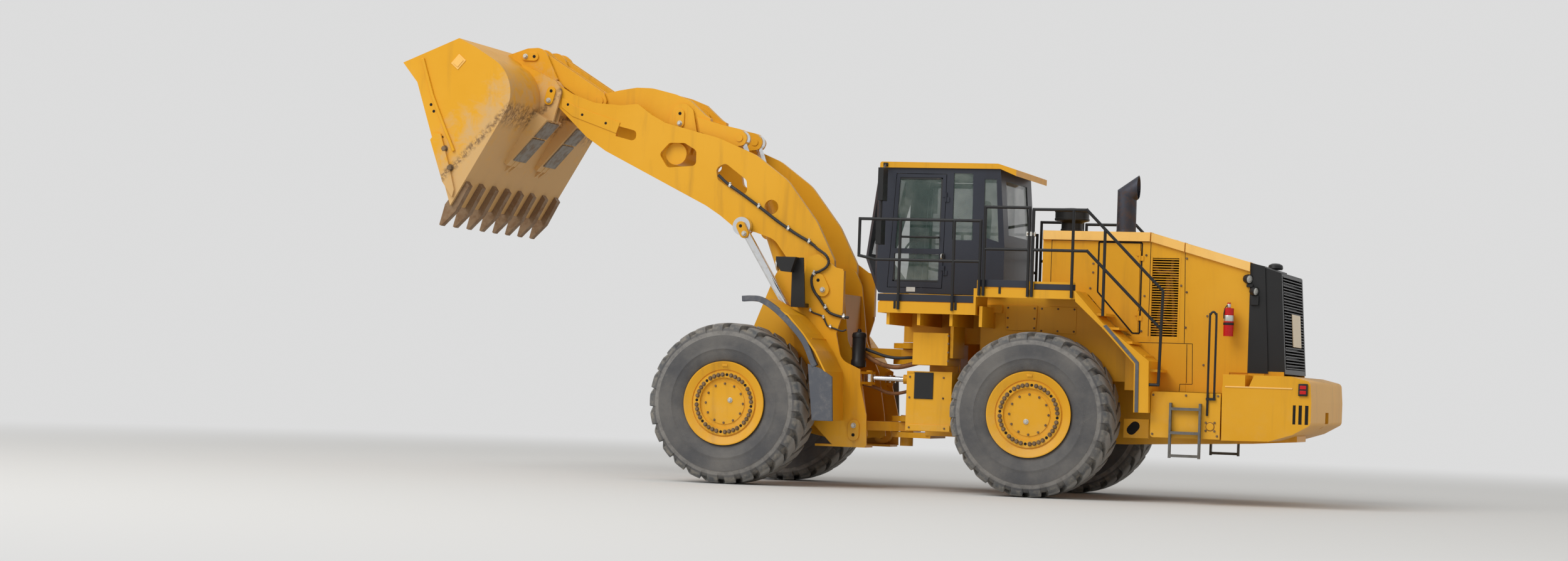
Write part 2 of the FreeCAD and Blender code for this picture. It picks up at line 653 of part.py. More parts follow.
for k, (y1, y2) in enumerate(((-(bracket_out + link_plate), -bracket_out),
                              (-link_in, -(link_in - link_plate)))):
    link_bar.append(slab("link_plate_%d" % k, [
        (far[0] - 115, far[1] - 30), (far[0] - 60, far[1] + 110), (far[0] + 80, far[1] + 90),
        (front[0] + 60, front[1] + 110), (front[0] + 120, front[1] - 30), (front[0] - 20, front[1] - 115),
        (front[0] - 130, front[1] - 60), (far[0] - 20, far[1] - 115),
    ], y1, y2, radii={0: 60, 1: 60, 4: 70, 5: 60}))
link_pin_ends = [
    rod_y("link_pin_out", s.pin_radius, front[0], front[1], -(bracket_out + link_plate + 12), -bracket_out),
    rod_y("link_pin_in", s.pin_radius, front[0], front[1], -link_in, -(link_in - link_plate - 12)),
]
link_hub = rod_y("link_hub", 100, far[0], far[1], -bracket_out - 1, -link_in + 1)
link_bore = rod_y("link_bore", bore, far[0], far[1], -(bracket_out + link_plate + 1),
                  -(link_in - link_plate - 1))
link_solid = cut("link_solid", fuse("link_blank", link_hub, *link_pin_ends, *link_bar), link_bore)
node(both("tilt_links", link_solid))


def cylinder(label, base, tip, y, barrel_radius, rod_radius, barrel_length, eye, stroke, pin_from, pin_to):
    """Hydraulic cylinder in two nodes: barrel with its base eye, rod with its rod eye and that eye's pin.

    base and tip are X and Z, stroke is how far the rod may go in,
    and the pin reaches between two places along Y."""
    start = (base[0], y, base[1])
    end = (tip[0], y, tip[1])
    length = math.hypot(number(tip[0]) - number(base[0]), number(tip[1]) - number(base[1]))
    half_eye = s.eye_width / 2
    base_eye = rod_y(label + "_base_eye", eye, base[0], base[1], y - half_eye, y + half_eye)
    tube = rod_between(label + "_tube", barrel_radius, start, end, eye - 15, length - number(barrel_length))
    head = rod_between(label + "_head", barrel_radius + 14, start, end, number(barrel_length) - 130,
                       length - number(barrel_length))
    bore_start = number(eye) + 60
    bore_cut = rod_between(label + "_bore", rod_radius + 1, start, end, bore_start, 0)
    base_bore = rod_y(label + "_base_bore", bore, base[0], base[1], y - half_eye - 1, y + half_eye + 1)
    barrel = cut(label + "_barrel_side", fuse(label + "_barrel_solid", base_eye, tube, head), bore_cut,
                 base_bore)
    shaft = rod_between(label + "_shaft", rod_radius, start, end, bore_start + number(stroke), eye - 20)
    rod_eye = rod_y(label + "_rod_eye", eye, tip[0], tip[1], y - half_eye, y + half_eye)
    rod_pin = rod_y(label + "_rod_pin", s.pin_radius, tip[0], tip[1], pin_from, pin_to)
    piston_rod = fuse(label + "_rod_side", shaft, rod_eye, rod_pin)
    node(both(label + "_barrels", barrel))
    node(both(label + "_rods", piston_rod))


cylinder("lift", (lift_base_x, lift_base_z), (ahead(s.lift_pin_x), s.lift_pin_z), -s.lift_y,
         s.lift_barrel_radius,
         s.lift_rod_radius, s.lift_barrel_length, s.boss_radius, s.lift_stroke,
         -(s.lift_y + s.eye_width / 2 + 30), -(arm_out + s.pin_fit))
cylinder("tilt", (tilt_base_x, tilt_base_z), (ahead(s.lever_rear_x), s.lever_rear_z), -s.lever_y,
         s.tilt_barrel_radius, s.tilt_rod_radius, s.tilt_barrel_length, s.boss_radius - 15, s.tilt_stroke,
         -(s.lever_y + s.eye_width / 2), -(s.lever_y - s.eye_width / 2))

# Steering cylinders, one each side of the hinge

for side_name, side in (("left", -1), ("right", 1)):
    eye = (ahead(s.steer_eye_x), s.steer_eye_y * side, s.steer_z)
    base = (fx(s.steer_base_x), s.steer_base_y * side, s.steer_z)
    length = math.hypot(number(eye[0]) - number(base[0]), number(eye[1]) - number(base[1]))
    tag = "steering_%s" % side_name
    barrel = cut(
        tag + "_barrel",
        fuse(tag + "_barrel_solid", rod_z(tag + "_base_eye", 75, base[0], base[1], s.steer_z - 63,
                                          s.steer_z + 63),
             rod_between(tag + "_tube", s.steer_barrel_radius, base, eye, 60,
                         length - s.steer_barrel_length.value)),
        rod_between(tag + "_bore", s.steer_rod_radius + 1, base, eye, 120, 0),
        rod_z(tag + "_base_bore", 40 + s.pin_fit, base[0], base[1], s.steer_z - 64, s.steer_z + 64))
    node(barrel)
    eye_half = s.steer_lug_gap - s.pin_fit
    node(fuse(tag + "_rod", rod_z(tag + "_rod_eye", 72, eye[0], eye[1], s.steer_z - eye_half,
                                  s.steer_z + eye_half),
              rod_between(tag + "_shaft", s.steer_rod_radius, base, eye, s.steer_piston, 60)))

# Bucket: an open shell of even wall between two side plates, with teeth on its cutting edge


bucket_path = [(ahead(x), as_size(z)) for x, z in ((-3870, 3490), (-2890, 5150), (-3610, 5590),
                                                   (-3831, 5698), (-4620, 5373))]
bucket_outer = bucket_path + from_front([(-4407, 5113)])
bucket_block = slab("bucket_block", bucket_outer, -s.bucket_half, s.bucket_half, radii={1: s.bucket_roll})
bucket_inner = inset(bucket_path, s.bucket_wall)
floor_way = (0.5084, 0.8611)
first, last = bucket_inner[0], bucket_inner[-1]
bucket_inner[0] = (first[0] - 60 * floor_way[0], first[1] - 60 * floor_way[1])
bucket_inner[-1] = (last[0] - 92, last[1] - 38)
bucket_inner.append((ahead(-5020), fixed(4600)))
cavity = slab("bucket_cavity", bucket_inner, -(s.bucket_half - s.bucket_side), s.bucket_half - s.bucket_side,
              radii={1: s.bucket_roll - s.bucket_wall})


def on_edge(points):
    """Corners given along the floor past the cutting edge, and below the floor."""
    edge_x, edge_z = bucket_path[0]
    along, below = (-floor_way[0], -floor_way[1]), (floor_way[1], -floor_way[0])
    return [(edge_x + as_size(a) * along[0] + as_size(b) * below[0],
             edge_z + as_size(a) * along[1] + as_size(b) * below[1]) for a, b in points]


lip = s.pin_fit
tooth_corners = on_edge([
    (-380, lip), (-350, 70), (30, 85), (s.tooth_length, 14), (s.tooth_length, -14),
    (30, -(s.bucket_wall + 62)),
    (-110, -(s.bucket_wall + 45)), (-140, -(s.bucket_wall + lip)), (lip, -(s.bucket_wall + lip)), (lip, lip),
])
teeth = []
for k in range(int(s.tooth_count.value)):
    middle = (s.bucket_half - 110) * (2.0 * k / (int(s.tooth_count.value) - 1) - 1)
    teeth.append(slab("tooth_%d" % (k + 1), tooth_corners, middle - 62, middle + 62))
node(compound("bucket_teeth", *teeth))
cutter = slab("side_cutter", from_front([
    (-4110, 4440), (-4175, 4350), (-3980, 3800), (-3835, 3600), (-3810, 3700), (-3890, 4000), (-4030, 4430),
]), -(s.bucket_half + s.cutter_thick), -(s.bucket_half - 1))
hinge_corners = from_front([
    (-3370, 5480), (-2870, 5250), (-2775, 5120), (-2880, 4720), (-3460, 4085), (-3640, 3960), (-3320, 4700),
])
hinge_in = s.arm_inner - s.hinge_gap
hinge_out = arm_out + s.hinge_gap
hinge_plates = [
    slab("hinge_inner", hinge_corners, -hinge_in, -(hinge_in - s.hinge_thick), radii={1: 90, 2: 100}),
    slab("hinge_outer", hinge_corners, -(hinge_out + s.hinge_thick), -hinge_out, radii={1: 90, 2: 100}),
]
ear_corners = from_front([
    (-3770, 5560), (-3350, 5700), (-3170, 5710), (-3080, 5640), (-2900, 5280), (-3220, 5250), (-3620, 5500),
])
ears = [
    slab("ear_outer", ear_corners, -(bracket_out + link_plate + s.side_gap + 44),
         -(bracket_out + link_plate + s.side_gap),
         radii={1: 80, 2: 120, 3: 120}),
    slab("ear_inner", ear_corners, -(link_in - link_plate - s.side_gap),
         -(link_in - link_plate - s.side_gap - 44),
         radii={1: 80, 2: 120, 3: 120}),
]
skid = slab("skid", from_front([(-2900, 4710), (-3460, 4095), (-3498, 4135), (-3170, 4700), (-3110, 4830)]),
            -s.skid_outer, -s.skid_inner)
bucket_pins = [
    rod_y("bucket_pin", s.pin_radius, ahead(s.bucket_pin_x), s.bucket_pin_z,
          -(hinge_out + s.hinge_thick + 15),
          -(hinge_in - s.hinge_thick)),
    rod_y("bucket_link_pin", s.pin_radius, ahead(s.link_pin_x), s.link_pin_z,
          -(bracket_out + link_plate + s.side_gap + 58), -(link_in - link_plate - s.side_gap - 44)),
]
bucket_side = fuse("bucket_side", skid, cutter, *(hinge_plates + ears + bucket_pins))
bucket_solid = fuse("bucket_solid", bucket_block, both("bucket_sides", bucket_side))
node(cut("bucket", bucket_solid, cavity))

# Rear frame: two long beams, the hitch forks round the front frame's lugs, and the tow bracket

beam_front = fx(-1640)
beam_corners = shifted([
    (-1640, 700), (-1640, 1330), (-900, 1340), (-400, 1520), (3150, 1520), (3150, 800), (2600, 760),
    (1000, 690),
])
beam = slab("beam", beam_corners, -s.beam_half, -(s.beam_half - s.beam_wall), radii={2: 150, 3: 150})
fork_base = [(hinge_x + 420, -s.beam_half), (hinge_x - 40, -215), (hinge_x - 190, -90), (hinge_x - 215, 0),
             (hinge_x - 190, 90), (hinge_x - 40, 215), (hinge_x + 420, s.beam_half)]
forks = []
for k, (z, up) in enumerate((
        (s.lower_lug_z - s.fork_gap - s.fork_plate, 0), (s.lower_lug_z + s.lug_plate + s.fork_gap, 1),
        (s.upper_lug_z - s.fork_gap - s.fork_plate, 0), (s.upper_lug_z + s.lug_plate + s.fork_gap, 1))):
    forks.append(floor_slab("fork_%d" % (k + 1), fork_base, z, z + s.fork_plate, radii={2: 100, 4: 100}))
hitch_pins = [
    rod_z("lower_hitch_pin", s.hitch_pin_radius, hinge_x, 0, s.lower_lug_z - 190,
          s.lower_lug_z + s.lug_plate + 90),
    rod_z("upper_hitch_pin", s.hitch_pin_radius, hinge_x, 0, s.upper_lug_z - 80,
          s.upper_lug_z + s.lug_plate + 90),
]
hitch_tower = box("hitch_tower", hinge_x + 330, fx(-1250), -200, 200, 1300, s.upper_lug_z + s.lug_plate + 78)
cross_members = [
    box("front_cross", beam_front, fx(-1590), -s.beam_half, s.beam_half, 700, 1330),
    box("middle_cross", fx(-700), fx(-650), -s.beam_half, s.beam_half, 800, 1380),
    box("axle_mount", fx(-420), fx(420), -s.beam_half, s.beam_half, 1380, 1500),
    box("engine_mount", fx(500), fx(640), -s.beam_half, s.beam_half, 1440, 1520),
    box("engine_mount_rear", fx(1960), fx(2100), -s.beam_half, s.beam_half, 1440, 1520),
    box("rear_cross", fx(3050), fx(3150), -s.beam_half, s.beam_half, 800, 1520),
    box("hood_rest_left", fx(1960), fx(2100), -(s.hood_half - 5), -(s.beam_half - 10), 1500,
        1640 - s.pin_fit),
    box("hood_rest_right", fx(1960), fx(2100), s.beam_half - 10, s.hood_half - 5, 1500, 1640 - s.pin_fit),
    box("shroud_rest", fx(2600), fx(2800), -(s.hood_half - 5), s.hood_half - 5, 1640 - 80, 1640 - s.pin_fit),
    box("shroud_post", fx(2600), fx(2800), -s.beam_half, s.beam_half, 1500, 1600),
]
steer_brackets = []
for side_name, side in (("left", -1), ("right", 1)):
    edges = (s.steer_base_y + 90, s.beam_half - 30)
    y1, y2 = (-edges[0], -edges[1]) if side < 0 else (edges[1], edges[0])
    for k, (z1, z2) in enumerate(((s.steer_z - 97, s.steer_z - 63.3), (s.steer_z + 63.3, s.steer_z + 97))):
        steer_brackets.append(box("steer_base_%s_%d" % (side_name, k), fx(s.steer_base_x - 70),
                                  fx(s.steer_base_x + 190), y1, y2, z1, z2))
    steer_brackets.append(box("steer_post_%s" % side_name, fx(s.steer_base_x + 100), fx(s.steer_base_x + 190),
                              y1, y2, 1300, s.steer_z + 97))
    steer_brackets.append(rod_z("steer_base_pin_%s" % side_name, 40, fx(s.steer_base_x),
                                s.steer_base_y * side,
                                s.steer_z - 105, s.steer_z + 105))
frame_solid = fuse("frame_solid", both("beams", beam), hitch_tower,
                   *(forks + hitch_pins + cross_members + steer_brackets))
rear_axle_hole = rod_y("rear_axle_hole", s.spindle_radius + 31, fx(0), s.tyre_radius, -600, 600)
rear_case_hole = rod_y("rear_case_hole", 331, fx(0), s.tyre_radius, -191, 191)
node(cut("rear_frame", frame_solid, rear_axle_hole, rear_case_hole))

# Engine block and the hood over it

node(box("engine_block", fx(450), fx(2150), -330, 330, 1520 + s.pin_fit, 2500))
hood_corners = shifted([
    (-40, 2560), (-40, 3350), (1317, 3350), (1757, 3227), (2484, 3034), (2589.7, 3010), (2589.7, 1640),
    (1894, 1640),
    (1894, 1990), (1217, 2009), (900, 2190), (560, 2560),
])
hood_out = slab("hood_out", hood_corners, -s.hood_half, s.hood_half)
hood_in = slab("hood_in", shifted([
    (-20, 2000), (-20, 3330), (1315, 3330), (1753, 3207), (2478, 3015), (2700, 2960), (2700, 1600),
    (1894, 1500),
    (900, 1500),
]), -(s.hood_half - s.hood_wall), s.hood_half - s.hood_wall)
bevel_cut = []
for side_name, side in (("left", -1), ("right", 1)):
    wedge = cross_slab("hood_bevel_%s" % side_name, [
        (s.hood_top_half * side, s.hood_top_z + 1), (s.hood_half * side + side, s.hood_top_z + 1),
        (s.hood_half * side + side, s.hood_side_z)], fx(-60), fx(1317))
    bevel_cut.append(wedge)
engine_door_corners = shifted([(677, 3224), (1209, 3224), (1209, 2090), (1136.4, 2090), (677, 2598)])
door_hole = slab("hood_door_hole", engine_door_corners, -(s.hood_half + 5), s.hood_half + 5)
grille_hole = box("hood_grille_hole", fx(1363), fx(1700), -(s.hood_half + 5), s.hood_half + 5, 2010, 3040)
exhaust_hole = rod_z("exhaust_hole", 110 + s.pin_fit, fx(840), 0, 3250, 3400)
intake_hole = rod_z("intake_hole", 120 + s.pin_fit, fx(120), 0, 3250, 3400)


def knuckles(name, x, face, side, z, toward):
    """Two halves of a hinge on a vertical pin just outside a panel: the fixed half and the moving half.

    face is the panel's distance from the middle plane, toward is 1 if the moving panel lies to the rear."""
    radius, length = s.knuckle_radius, s.knuckle_length
    y = (face + radius) * side
    halves = []
    for part, (low, way) in enumerate(((z, -toward), (z + length + s.pin_fit, toward))):
        barrel = rod_z("%s_knuckle_%d" % (name, part), radius, x, y, low, low + length)
        xs = (x - 45, x) if way < 0 else (x, x + 45)
        ys = (y, face * side) if side > 0 else (face * side, y)
        ys = (ys[1], ys[0]) if number(ys[0]) > number(ys[1]) else ys
        halves.append(fuse("%s_half_%d" % (name, part), barrel,
                           box("%s_leaf_%d" % (name, part), xs[0], xs[1], ys[0], ys[1], low, low + length)))
    return halves


gap = s.panel_gap
hood_hinges = []
for side_name, side in (("left", -1), ("right", 1)):
    y1, y2 = (-(s.hood_half), -(s.hood_half - s.hood_wall)) if side < 0 else (s.hood_half - s.hood_wall,
                                                                              s.hood_half)
    panel = slab("engine_panel_" + side_name, inset(engine_door_corners, gap, True), y1, y2)
    leaves = []
    for k, z in enumerate((2250, 3000)):
        fixed_half, moving_half = knuckles("engine_hinge_%s_%d" % (side_name, k), fx(1209) - gap / 2,
                                           s.hood_half,
                                           side, z, -1)
        hood_hinges.append(fixed_half)
        leaves.append(moving_half)
    node(fuse("engine_door_" + side_name, panel, *leaves))
node(fuse("hood", cut("hood_shell", hood_out, hood_in, door_hole, grille_hole, exhaust_hole, intake_hole,
                      *bevel_cut),
          *hood_hinges))
bars = []
for k in range(9):
    z = 2050 + 105 * k
    bars.append(box("grille_bar_%d" % k, fx(1363), fx(1700), -(s.hood_half - 2), -(s.hood_half - 16), z,
                    z + 40))
bars.append(box("grille_stile", fx(1515), fx(1545), -(s.hood_half - 4), -(s.hood_half - 18), 2010, 3040))
node(both("side_grilles", fuse("side_grille", *bars)))
shroud_out = slab("shroud_out", shifted([(2590, 1640), (2590, 3005), (2770, 2965), (2845, 1640)]),
                  -s.hood_half, s.hood_half)
shroud_in = slab("shroud_in", shifted([(2560, 1660), (2560, 2985), (2900, 2900), (2900, 1660)]),
                 -(s.hood_half - 60), s.hood_half - 60)
grille_inset = 20
hinge_y = s.hood_half + s.knuckle_radius + 1
hinge_foot, hinge_way = (number(fx(2845.15)), 1640.0), (-0.0565, 0.9984)
door_frame = slab("grille_door_frame", shifted([(2845.3, 1640), (2771, 2950), (2975, 2885), (3055, 1640)]),
                  -(s.hood_half - grille_inset), s.hood_half - grille_inset)
door_hollow = slab("grille_door_hollow", shifted([(2820, 1700), (2750, 2890), (3100, 2830), (3100, 1700)]),
                   -(s.hood_half - 90), s.hood_half - 90)
louvres = []
for k in range(11):
    z = 1740 + 102 * k
    shift = (z - 1640) * 0.06
    louvres.append(box("louvre_%d" % k, fx(2900 - shift), fx(2990 - shift), -(s.hood_half - 89),
                       s.hood_half - 89, z, z + 26))
grille_hinges = {"fixed": [], "moving": []}
for k, along in enumerate((260, 1000)):
    for half, low in (("fixed", 0), ("moving", s.knuckle_length.value + s.pin_fit.value)):
        x, z = (hinge_foot[i] + hinge_way[i] * (along + low) for i in (0, 1))
        top_x, top_z = (hinge_foot[i] + hinge_way[i] * (along + low + s.knuckle_length.value) for i in (0, 1))
        tag = "grille_hinge_%s_%d" % (half, k)
        barrel = rod_between(tag + "_barrel", s.knuckle_radius, (x, number(hinge_y), z),
                             (top_x, number(hinge_y), top_z))
        reach = -55 if half == "fixed" else 55
        leaf_from = s.hood_half if half == "fixed" else s.hood_half - grille_inset
        root = math.copysign(4, reach)
        leaf = slab(tag + "_leaf", [(x + root, z + 1), (x + reach, z + 1), (top_x + reach, top_z - 1),
                                    (top_x + root, top_z - 1)], leaf_from, hinge_y - 2)
        grille_hinges[half].append(fuse(tag, barrel, leaf))
node(fuse("rear_grille_door", cut("grille_door_ring", door_frame, door_hollow), *louvres,
          *grille_hinges["moving"]))
node(fuse("rear_shroud", cut("shroud_shell", shroud_out, shroud_in), *grille_hinges["fixed"]))

stack = [
    rod_z("stack_base", 110, fx(840), 0, s.hood_top_z - 60, s.hood_top_z + 60),
    rod_z("stack_pipe", 90, fx(840), 0, s.hood_top_z + 50, 3960),
    rod_between("stack_tip", 90, (number(fx(840)), 0, 3900), (number(fx(1010)), 0, 4080)),
]
node(fuse("exhaust_stack", *stack))
node(fuse("air_precleaner", rod_z("cleaner_neck", 120, fx(120), 0, s.hood_top_z - 60, 3530),
          rod_z("cleaner_bowl", 225, fx(120), 0, 3520, 3702)))

# Counterweight, side boxes and tow hitch

weight_corners = shifted([
    (2380, 800), (2372, 1466), (2700, 1466), (2760, 1610), (3200, 1610), (3445, 1552), (3463, 1300),
    (3461, 1026), (3241, 900), (2955, 809),
])
weight_out = slab("weight_block", weight_corners, -s.weight_half, s.weight_half, radii={5: 60, 7: 60})
weight_core = box("weight_core", fx(2300), fx(3150) + s.pin_fit, -(s.beam_half + s.pin_fit),
                  s.beam_half + s.pin_fit, 700, 1700)
weight_roof = box("weight_roof", fx(2590), fx(2810), -s.hood_half, s.hood_half, 1500, 1700)
tow_slot = box("tow_slot", fx(3200), fx(3500), -150, 150, 1040, 1180)
tow_hole = rod_z("tow_hole", s.tow_pin_radius + 1, fx(3390), 0, 700, 1700)
node(cut("counterweight", weight_out, weight_core, weight_roof, tow_slot, tow_hole))
side_box = slab("side_box", shifted([(1500, 810), (1500, 1372), (2360, 1372), (2360, 810)]),
                -s.weight_half, -(s.hood_half + 40), radii={0: 40, 1: 40})
side_box_arm = box("side_box_arm", fx(1900), fx(2200), -(s.hood_half + 60), -(s.beam_half + s.pin_fit),
                   1000, 1200)
node(both("side_boxes", fuse("side_box_solid", side_box, side_box_arm)))

# Decks, fenders, stairs, ladders and rails

deck_parts = []
for tag, x1, x2, low, top in (("front", -2001, -752, 2247, s.deck_front_z),
                              ("rear", -740, 524.7, 2475, s.deck_rear_z)):
    deck_parts.append(box("sill_" + tag, fx(x1), fx(x2), -s.deck_half, -(s.deck_half - 25), low, top))
    deck_parts.append(box("tread_" + tag, fx(x1), fx(x2), -s.deck_half,
                          -(s.cab_half + 30 if tag == "front" else s.hood_half + 10),
                          top - 30, top))
    deck_parts.append(box("kick_" + tag, fx(x1 + 8), fx(x2 - 8), -(s.deck_half - 30), -(s.deck_half - 36),
                          top - 5, top + 105))
deck_parts.append(box("deck_riser", fx(-765), fx(-735), -s.deck_half, -(s.hood_half + 10), 2247,
                      s.deck_rear_z))
deck_parts.append(box("deck_edge", fx(-2001), fx(-1970), -s.deck_half, -(s.cab_half + 30), 2247,
                      s.deck_front_z))
for k, x in enumerate((-1900, -1500, -1080, -700)):
    deck_parts.append(slab("deck_bracket_%d" % k, shifted([(x, 2360), (x, 2100), (x + 40, 2100),
                                                           (x + 40, 2360)]),
                           -(s.deck_half - 60), -420))
deck_core = box("deck_core", fx(-1960), fx(-560), -(s.cab_half + 20), -350, 2300, s.core_top)
deck_wall = box("deck_wall", fx(-1960), fx(-560), -420, -350, 1900, 2400)
node(both("platform", fuse("platform_side", deck_core, deck_wall, *deck_parts)))

fender_corners = shifted([
    (525, 2566), (887, 2172), (1470, 1728), (1484, 1105), (1496, 1105), (1482, 1740), (896, 2184),
    (532, 2580),
])
fender_skin = slab("fender_skin", fender_corners, -s.fender_outer, -(s.hood_half + 10))
fender_side = slab("fender_side", shifted([
    (541, 2447), (900, 2120), (1300, 1700), (1310, 1105), (1484, 1105), (1470, 1728), (887, 2172),
    (525, 2566),
]), -(s.fender_outer - 2), -(s.fender_outer - 12))
steps = []
for k in range(5):
    steps.append(box("stair_%d" % k, fx(700 + 170 * k), fx(910 + 170 * k), -(s.deck_half - 60),
                     -(s.hood_half + 20),
                     2282 - 168 * k, 2312 - 168 * k))
node(both("rear_fenders", fuse("rear_fender", fender_skin, fender_side, *steps)))

rungs = []
for k, z in enumerate((575, 856, 1150)):
    rungs.append(box("rung_%d" % k, fx(1740), fx(2131), -(s.weight_half + 70), -(s.weight_half + s.pin_fit),
                     z, z + 34))
for k, x in enumerate((1740, 2105)):
    rungs.append(box("ladder_rail_%d" % k, fx(x), fx(x + 26), -(s.weight_half + 70),
                     -(s.weight_half + s.pin_fit), 563, 1240))
node(both("ladders", fuse("ladder", *rungs)))

rail_y = s.deck_half + s.rail_radius + s.pin_fit
rails = {
    "front_loop": [(-694, 2490), (-694, 3425), (-2268, 3425), (-2268, 2960), (-2052, 2915), (-694, 2915)],
    "front_post": [(-1735, 2290), (-1735, 3425)],
    "front_post_2": [(-1035, 2290), (-1035, 3425)],
    "rear_top": [(-640, 2490), (-640, 3600), (-74, 3600), (-74, 2490)],
    "rear_middle": [(-640, 3075), (-74, 3075)],
    "slope_top": [(-24, 2490), (-24, 3580), (648, 3584), (1627, 2605), (1604, 1451), (1489.1, 1451)],
    "slope_middle": [(-24, 3075), (665, 3075), (1618, 2134)],
    "slope_post": [(482, 2490), (482, 3584)],
    "slope_post_2": [(884, 2276), (884, 3348)],
}
bars = []
for name, route in rails.items():
    for k in range(len(route) - 1):
        (xa, za), (xb, zb) = route[k], route[k + 1]
        lap = s.rail_radius * -0.7
        bars.append(rod_between("rail_%s_%d" % (name, k), s.rail_radius, (number(fx(xa)), -rail_y.value, za),
                                (number(fx(xb)), -rail_y.value, zb), lap if k else 0,
                                lap if k < len(route) - 2 else 0))
node(both("handrails", fuse("rail_side", *bars)))

# Cab

cab_corners = shifted([
    (-2200, 2521), (-2472, 2974), (-2235, 4130), (-640, 4130), (-560, 3150), (-560, 2521),
])
cab_out = slab("cab_out", cab_corners, -s.cab_half, s.cab_half, radii={1: 60})
cab_in = slab("cab_in", inset(cab_corners, s.cab_wall, True), -(s.cab_half - s.cab_wall),
              s.cab_half - s.cab_wall)
window_outlines = {
    "corner": [(-2350, 3010), (-2180, 4040), (-2070, 4040), (-2130, 3010)],
    "rear": [(-1249, 3215), (-1249, 4070), (-1000, 4070), (-980, 3215)],
    "quarter": [(-838, 3258), (-847, 4000), (-690, 4000), (-640, 3200)],
}
door_way = [(-2090, 2590), (-2010, 4060), (-1340, 4060), (-1360, 2590)]
cab_tools = [cab_in]
panes = []
door_in = s.cab_half - s.cab_wall - 10
for side_name, side in (("left", -1), ("right", 1)):
    y1, y2 = (-(s.cab_half + 5), -door_in) if side < 0 else (door_in, s.cab_half + 5)
    g1, g2 = (-(s.cab_half - 12), -(s.cab_half - 20)) if side < 0 else (s.cab_half - 20, s.cab_half - 12)
    cab_tools.append(slab("door_way_" + side_name, shifted(door_way), y1, y2))
    for name, outline in window_outlines.items():
        if name != "corner":
            cab_tools.append(slab("%s_way_%s" % (name, side_name), shifted(outline), y1, y2))
            panes.append(slab("%s_pane_%s" % (name, side_name), inset(shifted(outline), s.pin_fit, True),
                              g1, g2))
    cab_tools.append(floor_slab("cab_corner_" + side_name, [
        (fx(-2230), (s.cab_half + 1) * side), (fx(-2500), 520 * side), (fx(-2500), (s.cab_half + 1) * side)],
        2500, 4200))
cab_tools.append(box("screen_way", fx(-2520), fx(-2180), -470, 470, 3030, 4050))
cab_tools.append(box("rear_way", fx(-700), fx(-540), -600, 600, 3300, 4000))
door_hinges = []
leaf_corners = inset(shifted(door_way), s.door_gap, True)
for side_name, side in (("left", -1), ("right", 1)):
    y1, y2 = (-s.cab_half, -(s.cab_half - 40)) if side < 0 else (s.cab_half - 40, s.cab_half)
    leaf = slab("door_leaf_" + side_name, leaf_corners, y1, y2)
    w1, w2 = (-(s.cab_half + 2), -(s.cab_half - 42)) if side < 0 else (s.cab_half - 42, s.cab_half + 2)
    pane = shifted([(-2000, 3095), (-1960, 4010), (-1395, 4010), (-1410, 3095)])
    low_pane = shifted([(-2020, 2670), (-2003, 3030), (-1410, 3030), (-1418, 2670)])
    g1, g2 = (-(s.cab_half - 16), -(s.cab_half - 24)) if side < 0 else (s.cab_half - 24, s.cab_half - 16)
    moving = []
    for k, z in enumerate((2760, 3700)):
        fixed_half, moving_half = knuckles("door_hinge_%s_%d" % (side_name, k), fx(-1343), s.cab_half, side,
                                           z, -1)
        door_hinges.append(fixed_half)
        moving.append(moving_half)
    node(fuse("cab_door_" + side_name,
              cut("door_frame_" + side_name, leaf, slab("door_pane_way_" + side_name, pane, w1, w2),
                  slab("door_low_way_" + side_name, low_pane, w1, w2)), *moving))
    node(compound("door_glass_" + side_name,
                  slab("door_pane_" + side_name, inset(pane, s.pin_fit, True), g1, g2),
                  slab("door_low_pane_" + side_name, inset(low_pane, s.pin_fit, True), g1, g2)))
cab_mounts = [rod_z("cab_mount_%d_%d" % (round(x), side), s.mount_radius, fx(x), 700 * side,
                    s.core_top + s.pin_fit, 2530) for x in (-1900, -700) for side in (-1, 1)]
node(fuse("cab_shell", cut("cab_walls", cab_out, *cab_tools), *door_hinges, *cab_mounts))
roof = slab("cab_roof", shifted([(-2226, 4130.3), (-2226, 4205), (-668, 4197), (-430, 4120), (-430, 4042),
                                 (-640, 4130.3)]),
            -s.roof_half, s.roof_half, radii={1: 30, 2: 60})
node(roof)
screen = slab("windscreen", shifted([(-2452, 3030.3), (-2243, 4049.7), (-2235, 4049.7), (-2444, 3030.3)]),
              -469.7, 469.7)
rear_pane = slab("rear_pane", shifted([(-590, 3300.3), (-647, 3999.7), (-639, 3999.7), (-582, 3300.3)]),
                 -599.7, 599.7)
node(compound("cab_glass", screen, rear_pane, *panes))
seat = fuse("seat", box("seat_base", fx(-1500), fx(-1050), -210, 210, 2566, 2950),
            box("seat_cushion", fx(-1560), fx(-1020), -250, 250, 2940, 3060),
            slab("seat_back", shifted([(-1120, 3050), (-1080, 3750), (-980, 3750), (-1000, 3050)]), -240,
                 240))
console = fuse("console", slab("column", shifted([(-2080, 2566), (-2000, 3200), (-1930, 3200),
                                                  (-1960, 2566)]), -60, 60),
               rod_between("steering_wheel", 190, (number(fx(-1985)), 0, 3190), (number(fx(-1945)), 0, 3230)))
node(compound("cab_interior", seat, console))

# Under the cab: boxes, extinguisher, lamps, mirrors

